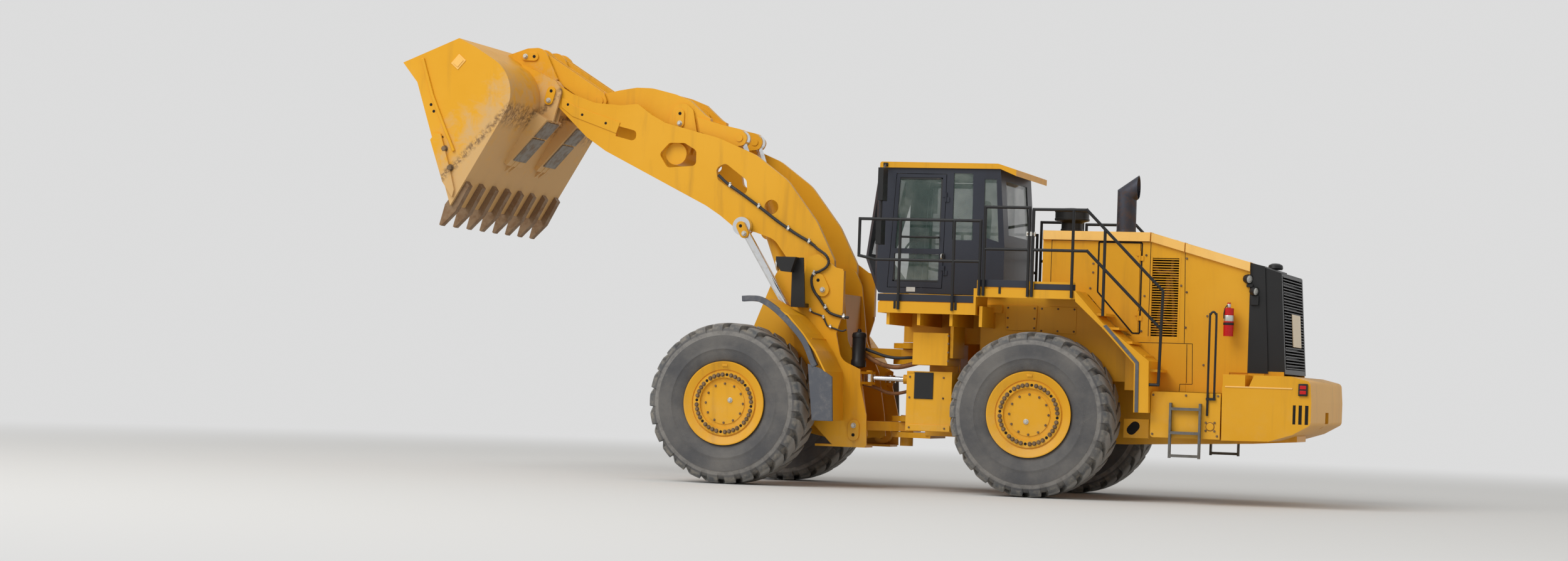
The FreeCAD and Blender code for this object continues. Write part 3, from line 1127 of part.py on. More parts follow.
boxes = [
    box("lower_box", fx(-1679), fx(-1090), -1260, -680, 764, 1524),
    box("upper_box", fx(-1590), fx(-1135), -1350, -700, 1605, 2012),
    box("box_carrier", fx(-1200), fx(-1100), -700, -(s.beam_half + s.pin_fit), 780, 1290),
    box("box_post", fx(-1200), fx(-1140), -760, -700, 1500, 2100 - s.pin_fit),
    box("box_hanger", fx(-1120), fx(-1080), -1300, -700, 1700, 2100 - s.pin_fit),
    box("box_strap", fx(-1200), fx(-1080), -760, -700, 1700, 1800),
]
node(both("under_boxes", fuse("under_box_side", *boxes)))
node(fuse("extinguisher", rod_z("bottle", 62, fx(2363), -1100, 2085, 2430),
          rod_z("bottle_neck", 22, fx(2363), -1100, 2420, 2500),
          box("bottle_hold", fx(2320), fx(2406), -1040, -(s.hood_half + 0.3), 2150, 2350)))
mirror_foot = box("mirror_foot", fx(-2180), fx(-2120), -(s.roof_half + 14), -(s.roof_half + s.pin_fit),
                  4140, 4190)
mirror_arm = rod_between("mirror_arm", 16, (number(fx(-2150)), -(s.roof_half.value + 8), 4165),
                         (number(fx(-2075)), -1290, 4060))
mirrors = fuse("mirror_side", mirror_foot, mirror_arm, box("mirror_upper", fx(-2110), fx(-2040), -1400,
                                                           -1180, 3677, 4092),
               rod_z("mirror_drop", 14, fx(-2085), -1290, 3400, 3700),
               box("mirror_lower", fx(-2120), fx(-2050), -1390, -1190, 3120, 3428))
node(both("mirrors", mirrors))

# Front fenders with their lamp brackets

arch = from_front([
    (196, 2380), (437, 2393), (600, 2300), (810, 2190), (1020, 1960), (1190, 1740), (1330, 1480),
    (1355, 860), (1335, 860), (1308, 1480), (1168, 1728), (1005, 1940), (798, 2170), (590, 2276),
    (430, 2368), (196, 2355),
])
front_fender = slab("front_fender_arch", arch, -(s.fender_outer - 15), -(plate_out + 30))
fender_arm = box("fender_arm", ahead(980), ahead(1080), -(s.fender_outer - 200), -(plate_out + s.pin_fit),
                 1800, 1900)
lamp_arm = slab("lamp_arm", from_front([(650, 2300), (650, 2760), (750, 2940), (800, 2940), (840, 2300)]),
                -1010, -980)
lamp_foot = box("lamp_foot", ahead(680), ahead(830), -1010, -(plate_out + s.pin_fit), 2300, 2350)
lamp_box = slab("lamp_box", from_front([(473, 2941), (476, 2874), (543, 2754), (678, 2744), (740, 2940)]),
                -1160, -960)
node(both("front_fenders", fuse("front_fender", front_fender, fender_arm)))
node(both("front_lamps", fuse("front_lamp", lamp_arm, lamp_foot, lamp_box)))


# Checks and files

doc.recompute()
failed = [item.Name for item in doc.Objects if "Invalid" in item.State or "Error" in item.State]
failed += [item.Label for item in nodes if item.Shape.isNull() or not item.Shape.isValid()]
if failed:
    raise RuntimeError("not built: " + ", ".join(failed))
os.makedirs("parts", exist_ok=True)
for item in nodes:
    item.Shape.exportStep("parts/%s.step" % item.Label)
print("%d nodes written" % len(nodes))
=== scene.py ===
import bpy
import math
import numpy as np
from mathutils import Matrix


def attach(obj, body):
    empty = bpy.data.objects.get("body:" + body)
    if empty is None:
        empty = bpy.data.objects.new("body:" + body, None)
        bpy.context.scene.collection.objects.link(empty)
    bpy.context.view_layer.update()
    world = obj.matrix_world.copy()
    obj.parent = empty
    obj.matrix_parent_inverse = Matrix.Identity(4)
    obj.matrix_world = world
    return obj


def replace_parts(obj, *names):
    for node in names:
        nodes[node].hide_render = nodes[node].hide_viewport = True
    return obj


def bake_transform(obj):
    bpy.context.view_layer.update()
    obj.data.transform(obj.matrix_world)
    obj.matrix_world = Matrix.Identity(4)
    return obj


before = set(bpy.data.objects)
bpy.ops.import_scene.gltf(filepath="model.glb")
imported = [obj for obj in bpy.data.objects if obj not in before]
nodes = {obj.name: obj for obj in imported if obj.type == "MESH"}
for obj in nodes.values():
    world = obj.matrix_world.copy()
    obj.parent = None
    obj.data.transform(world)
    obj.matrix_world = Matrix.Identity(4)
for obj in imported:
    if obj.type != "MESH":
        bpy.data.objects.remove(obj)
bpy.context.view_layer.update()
scene = bpy.context.scene
scene.view_settings.view_transform = "Standard"
print("frame loaded:", len(nodes), "nodes")

# All sizes are metres in the machine's own frame: -X is forward, +Y its right side, Z up.

layout = {"rearAxle": 2.568, "frontAxle": -1.412, "axleHeight": 1.03, "wheelMiddle": 1.27}


# Camera, light and floor

view = {
    "place": (11.1894, -39.839, 1.2975), "turn": math.radians(17.246), "rise": math.radians(1.888),
    "roll": math.radians(2.030), "focalPixels": 5014.6, "imageWidth": 2500.0, "sensor": 36.0,
}


def makeCamera(v):
    # looks along +Y turned towards -X by turn, raised by rise, then rolled about its own axis
    ahead = np.array([-math.sin(v["turn"]) * math.cos(v["rise"]), math.cos(v["turn"]) * math.cos(v["rise"]),
                      math.sin(v["rise"])])
    level = np.array([math.cos(v["turn"]), math.sin(v["turn"]), 0.0])
    over = np.cross(level, ahead)
    right = math.cos(v["roll"]) * level + math.sin(v["roll"]) * over
    up = -math.sin(v["roll"]) * level + math.cos(v["roll"]) * over
    data = bpy.data.cameras.new("photoView")
    data.sensor_width = v["sensor"]
    data.lens = v["focalPixels"] / v["imageWidth"] * v["sensor"]
    data.clip_end = 1000.0
    camera = bpy.data.objects.new("photoView", data)
    scene.collection.objects.link(camera)
    turned = np.eye(4)
    turned[:3, 0], turned[:3, 1], turned[:3, 2], turned[:3, 3] = right, up, -ahead, v["place"]
    camera.matrix_world = Matrix(turned.tolist())
    scene.camera = camera


makeCamera(view)


def tone(red, green, blue):
    # a colour as it shows on screen, 0 to 255, turned into the light that the shader works with
    c = np.array([red, green, blue]) / 255.0
    linear = np.where(c <= 0.04045, c / 12.92, ((c + 0.055) / 1.055) ** 2.4)
    return tuple(float(x) for x in linear) + (1.0,)


# Shader maths

class Wire:
    # one output of a material's node, with the maths that is used on it

    def __init__(self, finish, socket):
        self.finish = finish
        self.socket = socket

    def calc(self, operation, *values, clamp=False):
        return self.finish.node("ShaderNodeMath", {"operation": operation, "use_clamp": clamp},
                                dict(enumerate((self,) + values)))

    def __add__(self, other):
        return self.calc("ADD", other)

    def __sub__(self, other):
        return self.calc("SUBTRACT", other)

    def __mul__(self, other):
        return self.calc("MULTIPLY", other)

    def __truediv__(self, other):
        return self.calc("DIVIDE", other)

    def __rsub__(self, other):
        return self * -1.0 + other

    __radd__ = __add__
    __rmul__ = __mul__

    def clamped(self):
        return self.calc("ADD", 0.0, clamp=True)

    def over(self, low, high):
        # 0 below low, 1 above high, smooth between
        return self.finish.node("ShaderNodeMapRange", {"interpolation_type": "SMOOTHSTEP"},
                                {"Value": self, "From Min": low, "From Max": high})


class Finish:
    # a material in the making

    def __init__(self, name):
        self.material = bpy.data.materials.new(name)
        self.material.use_nodes = True
        self.tree = self.material.node_tree
        self.shader = self.tree.nodes["Principled BSDF"]
        self.place = self.node("ShaderNodeTexCoord", out="Object")

    def node(self, kind, settings=None, sockets=None, out=0):
        made = self.tree.nodes.new(kind)
        for key, value in (settings or {}).items():
            setattr(made, key, value)
        for key, value in (sockets or {}).items():
            self.feed(made.inputs[key], value)
        return Wire(self, made.outputs[out])

    def feed(self, socket, value):
        if isinstance(value, Wire):
            self.tree.links.new(value.socket, socket)
        else:
            socket.default_value = value

    def noise(self, scale, detail=3.0, rough=0.55, stretch=(1, 1, 1), warp=0.0):
        spot = self.place
        if stretch != (1, 1, 1):
            spot = self.node("ShaderNodeMapping", {}, {"Vector": spot, "Scale": stretch})
        return self.node("ShaderNodeTexNoise", {}, {"Vector": spot, "Scale": scale, "Detail": detail,
                                                    "Roughness": rough, "Distortion": warp}, "Fac")

    def mix(self, share, first, second):
        return self.node("ShaderNodeMix", {"data_type": "RGBA"}, {"Factor": share, 6: first, 7: second}, 2)

    def part(self, source, axis):
        return self.node("ShaderNodeSeparateXYZ", {}, {"Vector": source}, axis)

    def finished(self, colour, rough, bump=None, bumpDepth=0.001, **fixed):
        self.feed(self.shader.inputs["Base Color"], colour)
        self.feed(self.shader.inputs["Roughness"], rough)
        for key, value in fixed.items():
            self.feed(self.shader.inputs[key.replace("_", " ")], value)
        if bump is not None:
            normal = self.node("ShaderNodeBump", {}, {"Height": bump, "Distance": bumpDepth, "Strength": 1.0})
            self.feed(self.shader.inputs["Normal"], normal)
        return self.material


def paintFinish(name, look):
    # gloss paint under dust: paler dust lies on what faces up and low down, dirt runs in streaks, chips show here and there
    f = Finish(name)
    height = f.part(f.place, "Z")
    facing = f.part(f.node("ShaderNodeTexCoord", out="Normal"), "Z")
    broad = f.noise(0.7, 4.0)
    cloud = f.noise(6.0, 6.0, 0.65)
    grain = f.noise(70.0, 4.0, 0.7)
    runs = f.noise(3.0, 5.0, 0.6, (1.6, 1.6, 0.14), 0.4)
    low = (look["dustTop"] - height).over(0.0, look["dustTop"])
    dust = (facing * look["settled"] + low * look["lowDust"] + (cloud - 0.5) * 0.9 + (broad - 0.5) * 0.8
            + (grain - 0.5) * 0.35 + look["film"]).over(0.0, 1.0) * look["dustMost"]
    shade = f.mix(broad.over(0.3, 0.7), look["colour"], look["fade"])
    streaked = f.mix(runs.over(0.52, 0.78) * look["streaks"], shade, look["dirt"])
    chip = f.noise(26.0, 5.0, 0.7).over(0.70, 0.735) * broad.over(0.45, 0.6) * look["chips"]
    chipped = f.mix(chip, streaked, look["bare"])
    colour = f.mix(dust, chipped, look["dust"])
    if "stripe" in look:
        (px, pz), (wx, wz) = look["stripe"]
        across = (f.part(f.place, "X") - px) * wx + (f.part(f.place, "Z") - pz) * wz
        patches = f.noise(5.0, 6.0, 0.7, (1.0, 1.0, 1.0), 0.6)
        clay = (across * 1.2 + 0.78 + (patches - 0.5) * 1.9).over(0.15, 0.95) * 0.85
        thrown = (1.0 - across.calc("ABSOLUTE").over(0.015, 0.075)) * f.noise(17.0, 5.0, 0.75).over(0.40, 0.60)
        colour = f.mix(thrown * 0.85, f.mix(clay, colour, look["clay"]), look["mud"])
        dust = (dust + clay * 0.6).clamped()
    rough = (dust * 0.45 + grain * 0.12 + look["rough"]).clamped()
    return f.finished(colour, rough, grain * 0.6 + cloud * 0.8 + chip * -1.0, look["bump"], Coat_Weight=look["coat"],
                      Coat_Roughness=0.2, Specular_IOR_Level=0.28)


yellowLook = {
    "colour": tone(224, 160, 22), "fade": tone(230, 168, 38), "dirt": tone(150, 104, 42), "dust": tone(212, 180, 132),
    "bare": tone(96, 72, 50), "dustTop": 2.2, "lowDust": 0.50, "settled": 0.22, "film": -0.22, "dustMost": 0.55,
    "streaks": 0.35, "chips": 0.7, "rough": 0.40, "bump": 0.0012, "coat": 0.08,
}
# stripe: a point of the dirt line on the bucket's side, and the way across it towards the floor of the bucket
bucketLook = dict(yellowLook, stripe=((-4.430, 4.870), (0.723, -0.691)), mud=tone(112, 84, 58), clay=tone(206, 170, 120),
                  film=-0.05)
darkLook = dict(yellowLook, colour=tone(44, 47, 57), fade=tone(52, 55, 64), dirt=tone(34, 33, 34), dust=tone(142, 134, 122),
                bare=tone(120, 116, 108), film=-0.42, dustMost=0.40, streaks=0.3, chips=0.3, rough=0.36)
blackLook = dict(darkLook, colour=tone(30, 30, 31), fade=tone(38, 38, 38), film=-0.45, rough=0.4)
redLook = dict(yellowLook, colour=tone(190, 18, 22), fade=tone(200, 30, 30), dirt=tone(90, 14, 12), film=-0.3, rough=0.22)


def metalFinish(name, colour, stain, rough, metal, amount, bump=0.0006):
    # bare metal: brushed along one way, stained by dirt in clouds
    f = Finish(name)
    cloud = f.noise(9.0, 6.0, 0.7)
    brushed = f.noise(60.0, 3.0, 0.6, (1.0, 1.0, 0.05))
    dirty = cloud.over(0.42, 0.68) * amount
    return f.finished(f.mix(dirty, colour, stain), dirty * 0.5 + brushed * (0.12 if bump else 0.03) + rough,
                      brushed + cloud * 2.0 if bump else None, bump or 0.001,
                      Metallic=(1.0 - dirty) * metal)


def rubberFinish(name, look):
    # weathered rubber: grey bloom, pale dust in patches and in the low parts
    f = Finish(name)
    broad = f.noise(2.2, 5.0, 0.6)
    cloud = f.noise(11.0, 7.0, 0.7)
    grain = f.noise(90.0, 4.0, 0.7)
    dusty = ((cloud - 0.5) * 1.6 + (broad - 0.5) * 1.2 + (grain - 0.5) * 0.5 + look["film"]).over(0.0, 1.0) * look["most"]
    return f.finished(f.mix(dusty, look["colour"], look["dust"]), (dusty * 0.15 + look["rough"]).clamped(),
                      cloud * 1.0 + grain * 0.7, look["bump"])


def glassFinish(name, colour):
    # thin tinted pane with a film of dust that is thicker at some spots
    f = Finish(name)
    film = f.noise(3.0, 5.0, 0.6).over(0.35, 0.8)
    return f.finished(f.mix(film * 0.5, colour, tone(176, 182, 172)), film * 0.12 + 0.03,
                      Alpha=film * 0.16 + 0.40, Coat_Weight=0.6, Coat_Roughness=0.03)


def seatFinish(name):
    # woven cloth: two crossed sets of fine ribs
    f = Finish(name)
    across = f.part(f.place, "Y").calc("MULTIPLY", 900.0).calc("SINE")
    along = f.part(f.place, "Z").calc("MULTIPLY", 900.0).calc("SINE")
    weave = across * along
    return f.finished(f.mix(weave * 0.5 + 0.5, tone(40, 42, 46), tone(66, 68, 72)), 0.85, weave, 0.0006)


yellowPaint = paintFinish("yellowPaint", yellowLook)
bucketPaint = paintFinish("bucketPaint", bucketLook)
cabPaint = paintFinish("cabPaint", darkLook)
blackPaint = paintFinish("blackPaint", blackLook)
redPaint = paintFinish("redPaint", redLook)
toothSteel = metalFinish("toothSteel", tone(142, 116, 88), tone(128, 96, 66), 0.5, 0.55, 0.9)
rodChrome = metalFinish("rodChrome", tone(226, 228, 230), tone(150, 140, 124), 0.12, 1.0, 0.25, 0.0)
castIron = metalFinish("castIron", tone(84, 80, 74), tone(62, 52, 42), 0.6, 0.4, 0.8)
boltSteel = metalFinish("boltSteel", tone(132, 110, 84), tone(88, 66, 46), 0.5, 0.6, 0.7)
plugSteel = metalFinish("plugSteel", tone(206, 206, 200), tone(150, 140, 120), 0.3, 0.8, 0.3)
cabGlass = glassFinish("cabGlass", tone(74, 94, 88))
seatCloth = seatFinish("seatCloth")
blackRubber = rubberFinish("blackRubber", {"colour": tone(36, 36, 37), "dust": tone(128, 120, 108), "film": -0.1,
                                           "most": 0.6, "rough": 0.55, "bump": 0.0008})
# near-black finish: on seams and gaps it is the dark of the joints; on holes, slots and the sheet behind the side
# grille it is painted shade
darkSeamAndHoleShade = metalFinish("darkSeamAndHoleShade", tone(20, 19, 18), tone(44, 38, 30), 0.8, 0.2, 0.6)
edgeRubber = rubberFinish("edgeRubber", {"colour": tone(84, 87, 94), "dust": tone(160, 154, 146), "film": 0.1,
                                         "most": 0.6, "rough": 0.7, "bump": 0.0015})
print("finishes made")


# Finish of every node of the frame

dressing = {
    yellowPaint: ["front_frame", "boom", "levers", "tilt_links", "lift_barrels", "tilt_barrels", "hood", "front_axle",
                  "rear_axle", "engine_door_left", "engine_door_right", "front_fenders", "rear_fenders", "platform",
                  "under_boxes", "side_boxes", "counterweight", "rear_frame", "steering_left_barrel",
                  "steering_right_barrel", "rim_front_left", "rim_front_right", "rim_rear_left", "rim_rear_right",
                  "cab_roof", "side_grilles"],
    bucketPaint: ["bucket"],
    cabPaint: ["cab_shell", "cab_door_left", "cab_door_right"],
    blackPaint: ["handrails", "ladders", "mirrors", "front_lamps", "rear_shroud", "rear_grille_door",
                 "air_precleaner", "exhaust_stack"],
    redPaint: ["extinguisher"],
    toothSteel: ["bucket_teeth"],
    rodChrome: ["lift_rods", "tilt_rods", "steering_left_rod", "steering_right_rod"],
    castIron: ["engine_block"],
    cabGlass: ["cab_glass", "door_glass_left", "door_glass_right"],
    seatCloth: ["cab_interior"],
    blackRubber: ["tyre_front_left", "tyre_front_right", "tyre_rear_left", "tyre_rear_right"],
}
for material, names in dressing.items():
    for name in names:
        nodes[name].data.materials.clear()
        nodes[name].data.materials.append(material)
print("nodes dressed")


# Mesh helpers

class Shape:
    # corners and faces gathered for one piece

    def __init__(self):
        self.spots = np.zeros((0, 3))
        self.faces = []

    def add(self, spots, faces):
        start = len(self.spots)
        self.spots = np.vstack([self.spots, np.asarray(spots, float).reshape(-1, 3)])
        self.faces += [[start + int(i) for i in face] for face in faces]
        return self


def gridFaces(rows, columns, closeRows=False, closeColumns=False, flip=False):
    # quads of a grid whose corner number is row * columns + column, each going round the same way
    r, c = np.meshgrid(np.arange(rows if closeRows else rows - 1),
                       np.arange(columns if closeColumns else columns - 1), indexing="ij")
    r, c = r.ravel(), c.ravel()
    r2, c2 = (r + 1) % rows, (c + 1) % columns
    quads = np.stack([r * columns + c, r2 * columns + c, r2 * columns + c2, r * columns + c2], 1)
    return (quads[:, ::-1] if flip else quads).tolist()


def crossWay(way):
    # two unit vectors square to a way and to each other
    way = np.asarray(way, float) / np.linalg.norm(way)
    helper = np.array([0.0, 0.0, 1.0]) if abs(way[2]) < 0.9 else np.array([1.0, 0.0, 0.0])
    first = np.cross(way, helper)
    first /= np.linalg.norm(first)
    return way, first, np.cross(way, first)


def turnedForm(profile, start, way, sides=24, spin=0.0):
    # rows of (radius, distance along way) turned about a line: spot = start + way * d + r * (cos a, sin a), ends closed
    way, first, second = crossWay(way)
    p = np.asarray(profile, float)
    angle = np.linspace(0, 2 * np.pi, sides, endpoint=False) + spin
    ring = np.cos(angle)[:, None] * first + np.sin(angle)[:, None] * second
    spots = np.asarray(start, float) + p[:, 1][:, None, None] * way + p[:, 0][:, None, None] * ring
    faces = gridFaces(len(p), sides, closeColumns=True)
    faces += [list(range(sides))[::-1], list(range((len(p) - 1) * sides, len(p) * sides))]
    return spots.reshape(-1, 3), [face[::-1] for face in faces]


def tubeForm(path, radius, sides=12, ribs=0.0, pitch=0.02):
    # circle carried along a path; with ribs the radius swells and shrinks as a sine of the length
    p = np.asarray(path, float)
    step = np.gradient(p, axis=0)
    step /= np.linalg.norm(step, axis=1)[:, None]
    helper = np.array([0.0, 1.0, 0.0]) if abs(step[:, 1]).max() < 0.8 else np.array([0.3, 0.2, 1.0])
    first = np.cross(step, helper)
    first /= np.linalg.norm(first, axis=1)[:, None]
    second = np.cross(step, first)
    run = np.concatenate([[0.0], np.cumsum(np.linalg.norm(np.diff(p, axis=0), axis=1))])
    size = radius - ribs * (0.5 - 0.5 * np.cos(2 * np.pi * run / pitch))
    angle = np.linspace(0, 2 * np.pi, sides, endpoint=False)
    ring = np.cos(angle)[None, :, None] * first[:, None] + np.sin(angle)[None, :, None] * second[:, None]
    spots = p[:, None] + size[:, None, None] * ring
    faces = gridFaces(len(p), sides, closeColumns=True)
    faces += [list(range(sides))[::-1], list(range((len(p) - 1) * sides, len(p) * sides))]
    return spots.reshape(-1, 3), faces


def plateForm(outline, side, inner, outer):
    # flat outline of (x, z) corners between two distances from the machine's middle, on one side of it
    flat = np.asarray(outline, float)
    count = len(flat)
    spots = np.vstack([np.column_stack([flat[:, 0], np.full(count, side * y), flat[:, 1]]) for y in (inner, outer)])
    area = np.sum(flat[:, 0] * np.roll(flat[:, 1], -1) - np.roll(flat[:, 0], -1) * flat[:, 1])
    turn = 1 if area * side > 0 else -1
    i = np.arange(count)
    walls = np.stack([i, (i + 1) % count, (i + 1) % count + count, i + count], 1)[:, ::turn].tolist()
    return spots, walls + [i[::-turn].tolist(), (i + count)[::turn].tolist()]


def boxForm(x1, x2, y1, y2, z1, z2):
    return plateForm([(x1, z1), (x2, z1), (x2, z2), (x1, z2)], 1, min(y1, y2), max(y1, y2))


def stadium(start, end, radius, arc=8):
    # outline of two half circles round two points, joined by straight sides
    a, b = np.asarray(start, float), np.asarray(end, float)
    lean = math.atan2(*(b - a)[::-1])
    turn = np.linspace(-np.pi / 2, np.pi / 2, arc)
    far = b + radius * np.column_stack([np.cos(lean + turn), np.sin(lean + turn)])
    near = a + radius * np.column_stack([np.cos(lean + turn + np.pi), np.sin(lean + turn + np.pi)])
    return np.vstack([far, near])


def smoothPath(points, count=60):
    # Catmull-Rom line through points: each run blends its two ends and their neighbours by cubic weights
    p = np.asarray(points, float)
    q = np.vstack([2 * p[0] - p[1], p, 2 * p[-1] - p[-2]])
    t = np.linspace(0, len(p) - 1 - 1e-9, count)
    i = t.astype(int)
    f = (t - i)[:, None]
    a, b, c, d = q[i], q[i + 1], q[i + 2], q[i + 3]
    return 0.5 * (2 * b + (c - a) * f + (2 * a - 5 * b + 4 * c - d) * f ** 2 + (3 * b - a - 3 * c + d) * f ** 3)


def makePiece(name, shape, material, body, bevel=0.0, smooth=True, sharp=35.0):
    mesh = bpy.data.meshes.new(name)
    mesh.from_pydata(shape.spots.tolist(), [], shape.faces)
    mesh.materials.append(material)
    mesh.polygons.foreach_set("use_smooth", np.full(len(mesh.polygons), smooth))
    mesh.update()
    if smooth:
        mesh.set_sharp_from_angle(angle=math.radians(sharp))
    piece = bpy.data.objects.new(name, mesh)
    scene.collection.objects.link(piece)
    if bevel:
        edge = piece.modifiers.new("edge", "BEVEL")
        edge.width, edge.segments, edge.limit_method = bevel, 2, "ANGLE"
    if isinstance(body, str):
        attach(piece, body)
    else:
        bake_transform(piece)
    return piece


def seen(node, x, z, side):
    # how far from the machine's middle a node's outermost face lies at a place of its side view
    hit, place, _, _ = nodes[node].ray_cast((x, side * 5.0, z), (0.0, -side, 0.0))
    return abs(place[1]) if hit else 0.0


# Bolts: a six-sided head with a worn round top, on a washer

boltLook = {"washer": 1.22, "height": 0.62, "chamfer": 0.12}


def boltForm(place, way, size, spin=0.3):
    head = size / 2
    washer, head1 = turnedForm([(head * boltLook["washer"], -0.004), (head * boltLook["washer"], size * 0.08)], place, way, 14), \
        turnedForm([(head, size * 0.06), (head, size * (boltLook["height"] - boltLook["chamfer"])),
                    (head * 0.8, size * boltLook["height"])], place, way, 6, spin)
    return [washer, head1]


# Tyres: the tread is a grid of rows across and columns round, whose columns follow the lug edges

tyreLook = {
    "lugs": 26, "grooveShoulder": 0.19, "grooveTread": 0.11, "skew": 0.75, "wall": 0.022, "lugColumns": 8,
    # distance from the tyre's middle, radius in the grooves, radius on the lugs
    "rows": [
        (0.010, 0.984, 0.984), (0.022, 0.984, 1.029), (0.060, 0.984, 1.030), (0.100, 0.983, 1.030), (0.140, 0.983, 1.030),
        (0.180, 0.982, 1.030), (0.220, 0.981, 1.030), (0.260, 0.980, 1.029), (0.290, 0.978, 1.027), (0.315, 0.975, 1.024),
        (0.337, 0.971, 1.019), (0.355, 0.966, 1.012), (0.370, 0.960, 1.003), (0.382, 0.952, 0.993), (0.392, 0.943, 0.981),
        (0.400, 0.932, 0.968), (0.412, 0.910, 0.938), (0.4175, 0.893, 0.905), (0.4195, 0.884, 0.884),
        (0.4215, 0.874, 0.874), (0.4275, 0.868, 0.868), (0.4295, 0.840, 0.840), (0.4298, 0.800, 0.800),
        (0.4280, 0.745, 0.745), (0.4262, 0.715, 0.715), (0.4290, 0.708, 0.708), (0.4290, 0.694, 0.694),
        (0.4235, 0.687, 0.687), (0.4160, 0.650, 0.650), (0.4050, 0.618, 0.618), (0.3920, 0.592, 0.592),
        (0.3810, 0.565, 0.565), (0.3700, 0.545, 0.545), (0.3540, 0.533, 0.533), (0.3400, 0.5215, 0.5215),
        (0.3000, 0.5215, 0.5215),
    ],
}


def tyreGrid(look):
    # spot = (r sin a, y, r cos a), with a = (pitch number + column share + skew of the row) * pitch, and r the groove's
    # radius or the lug's by the column
    half = np.array(look["rows"])
    rows = np.vstack([half[::-1] * [-1, 1, 1], half])
    across = rows[:, 0]
    inward = np.clip((0.36 - np.abs(across)) / 0.34, 0, 1)
    groove = look["grooveShoulder"] + (look["grooveTread"] - look["grooveShoulder"]) * inward
    wall, many = look["wall"], look["lugColumns"]
    inside = np.linspace(0, 1, many)
    share = np.column_stack([np.zeros(len(rows)), groove - wall] +
                            [groove + wall + (1 - 2 * groove - 2 * wall) * f for f in inside] + [1 - groove + wall])
    raised = np.array([0, 0] + [1] * many + [0])
    lug = np.arange(look["lugs"])
    pitch = 2 * np.pi / look["lugs"]
    offset = look["skew"] * inward ** 1.15 + 0.5 * (across > 0)
    angle = (lug[None, :, None] + share[:, None, :] + offset[:, None, None]) * pitch
    angle = angle.reshape(len(rows), -1)
    lift = np.tile(raised, look["lugs"])[None, :]
    radius = rows[:, 1][:, None] + (rows[:, 2] - rows[:, 1])[:, None] * lift
    spots = np.stack([radius * np.sin(angle), np.broadcast_to(across[:, None], angle.shape), radius * np.cos(angle)], -1)
    up = np.broadcast_to(lift, angle.shape) * ((rows[:, 2] - rows[:, 1])[:, None] > 0.001)
    return spots.reshape(-1, 3), gridFaces(len(rows), angle.shape[1], True, True), radius.ravel(), up.ravel()


def tyreFinish():
    # worn rubber: pale dusty lug tops with scuffs, darker grooves, a grey sidewall with runs of dust and a pale ledge ring
    f = Finish("wornTyre")
    radius = f.node("ShaderNodeAttribute", {"attribute_name": "fromMiddle"}, out="Fac")
    top = f.node("ShaderNodeAttribute", {"attribute_name": "onLug"}, out="Fac")
    broad, cloud, grain = f.noise(1.7, 5.0, 0.6), f.noise(9.0, 7.0, 0.7), f.noise(75.0, 5.0, 0.75)
    speckle = f.noise(160.0, 2.0, 0.6)
    ledge = radius.over(0.866, 0.872) * (1.0 - radius.over(0.915, 0.93))
    tread = radius.over(0.93, 0.965)
    crown = radius.over(1.0, 1.026) * top
    side = f.mix(broad.over(0.3, 0.75), tone(78, 78, 80), tone(112, 109, 105))
    side = f.mix(((cloud - 0.5) * 2.2 + (grain - 0.5) * 1.2).over(0.25, 1.0) * 0.75, side, tone(140, 136, 130))
    side = f.mix(ledge * (cloud.over(0.3, 0.6) * 0.45 + 0.15), side, tone(150, 146, 140))
    groove = f.mix(cloud.over(0.35, 0.7), tone(88, 90, 92), tone(140, 134, 124))
    lugs = f.mix(((cloud - 0.5) * 1.6 + (grain - 0.5) * 1.4).over(0.0, 0.7), tone(146, 144, 140), tone(188, 183, 174))
    lugs = f.mix(speckle.over(0.66, 0.74) * 0.5, lugs, tone(70, 70, 72))
    colour = f.mix(crown, f.mix(tread, side, groove), lugs)
    rough = (cloud * 0.12 + 0.76).clamped()
    return f.finished(colour, rough, cloud * 1.2 + grain * 0.9 + speckle * 0.35, 0.004)


wornTyre = tyreFinish()
wheels = {"front_left": (layout["frontAxle"], -1), "front_right": (layout["frontAxle"], 1),
          "rear_left": (layout["rearAxle"], -1), "rear_right": (layout["rearAxle"], 1)}
treadSpots, treadFaces, fromMiddle, onLug = tyreGrid(tyreLook)
for where, (x, side) in wheels.items():
    shape = Shape().add(treadSpots + [x, side * layout["wheelMiddle"], layout["axleHeight"]], treadFaces)
    tyre = makePiece("tyreSkin_" + where, shape, wornTyre, "wheel_" + where, sharp=28.0)
    for key, values in (("fromMiddle", fromMiddle), ("onLug", onLug)):
        tyre.data.attributes.new(key, "FLOAT", "POINT").data.foreach_set("value", values.astype(np.float32))
    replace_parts(tyre, "tyre_" + where)
print("tyres made")


# Rims: ring of bolts with plugged holes between the groups, studs on the cover, plug and gutter block

rimLook = {"boltCircle": 0.366, "boltSize": 0.046, "positions": 40, "perGroup": 5, "ringPlane": 0.382, "studCircle": 0.250,
           "studs": 12, "studSize": 0.026, "coverPlane": 0.362, "plugFront": (0.076, 0.041), "plugRear": (-0.033, -0.090)}


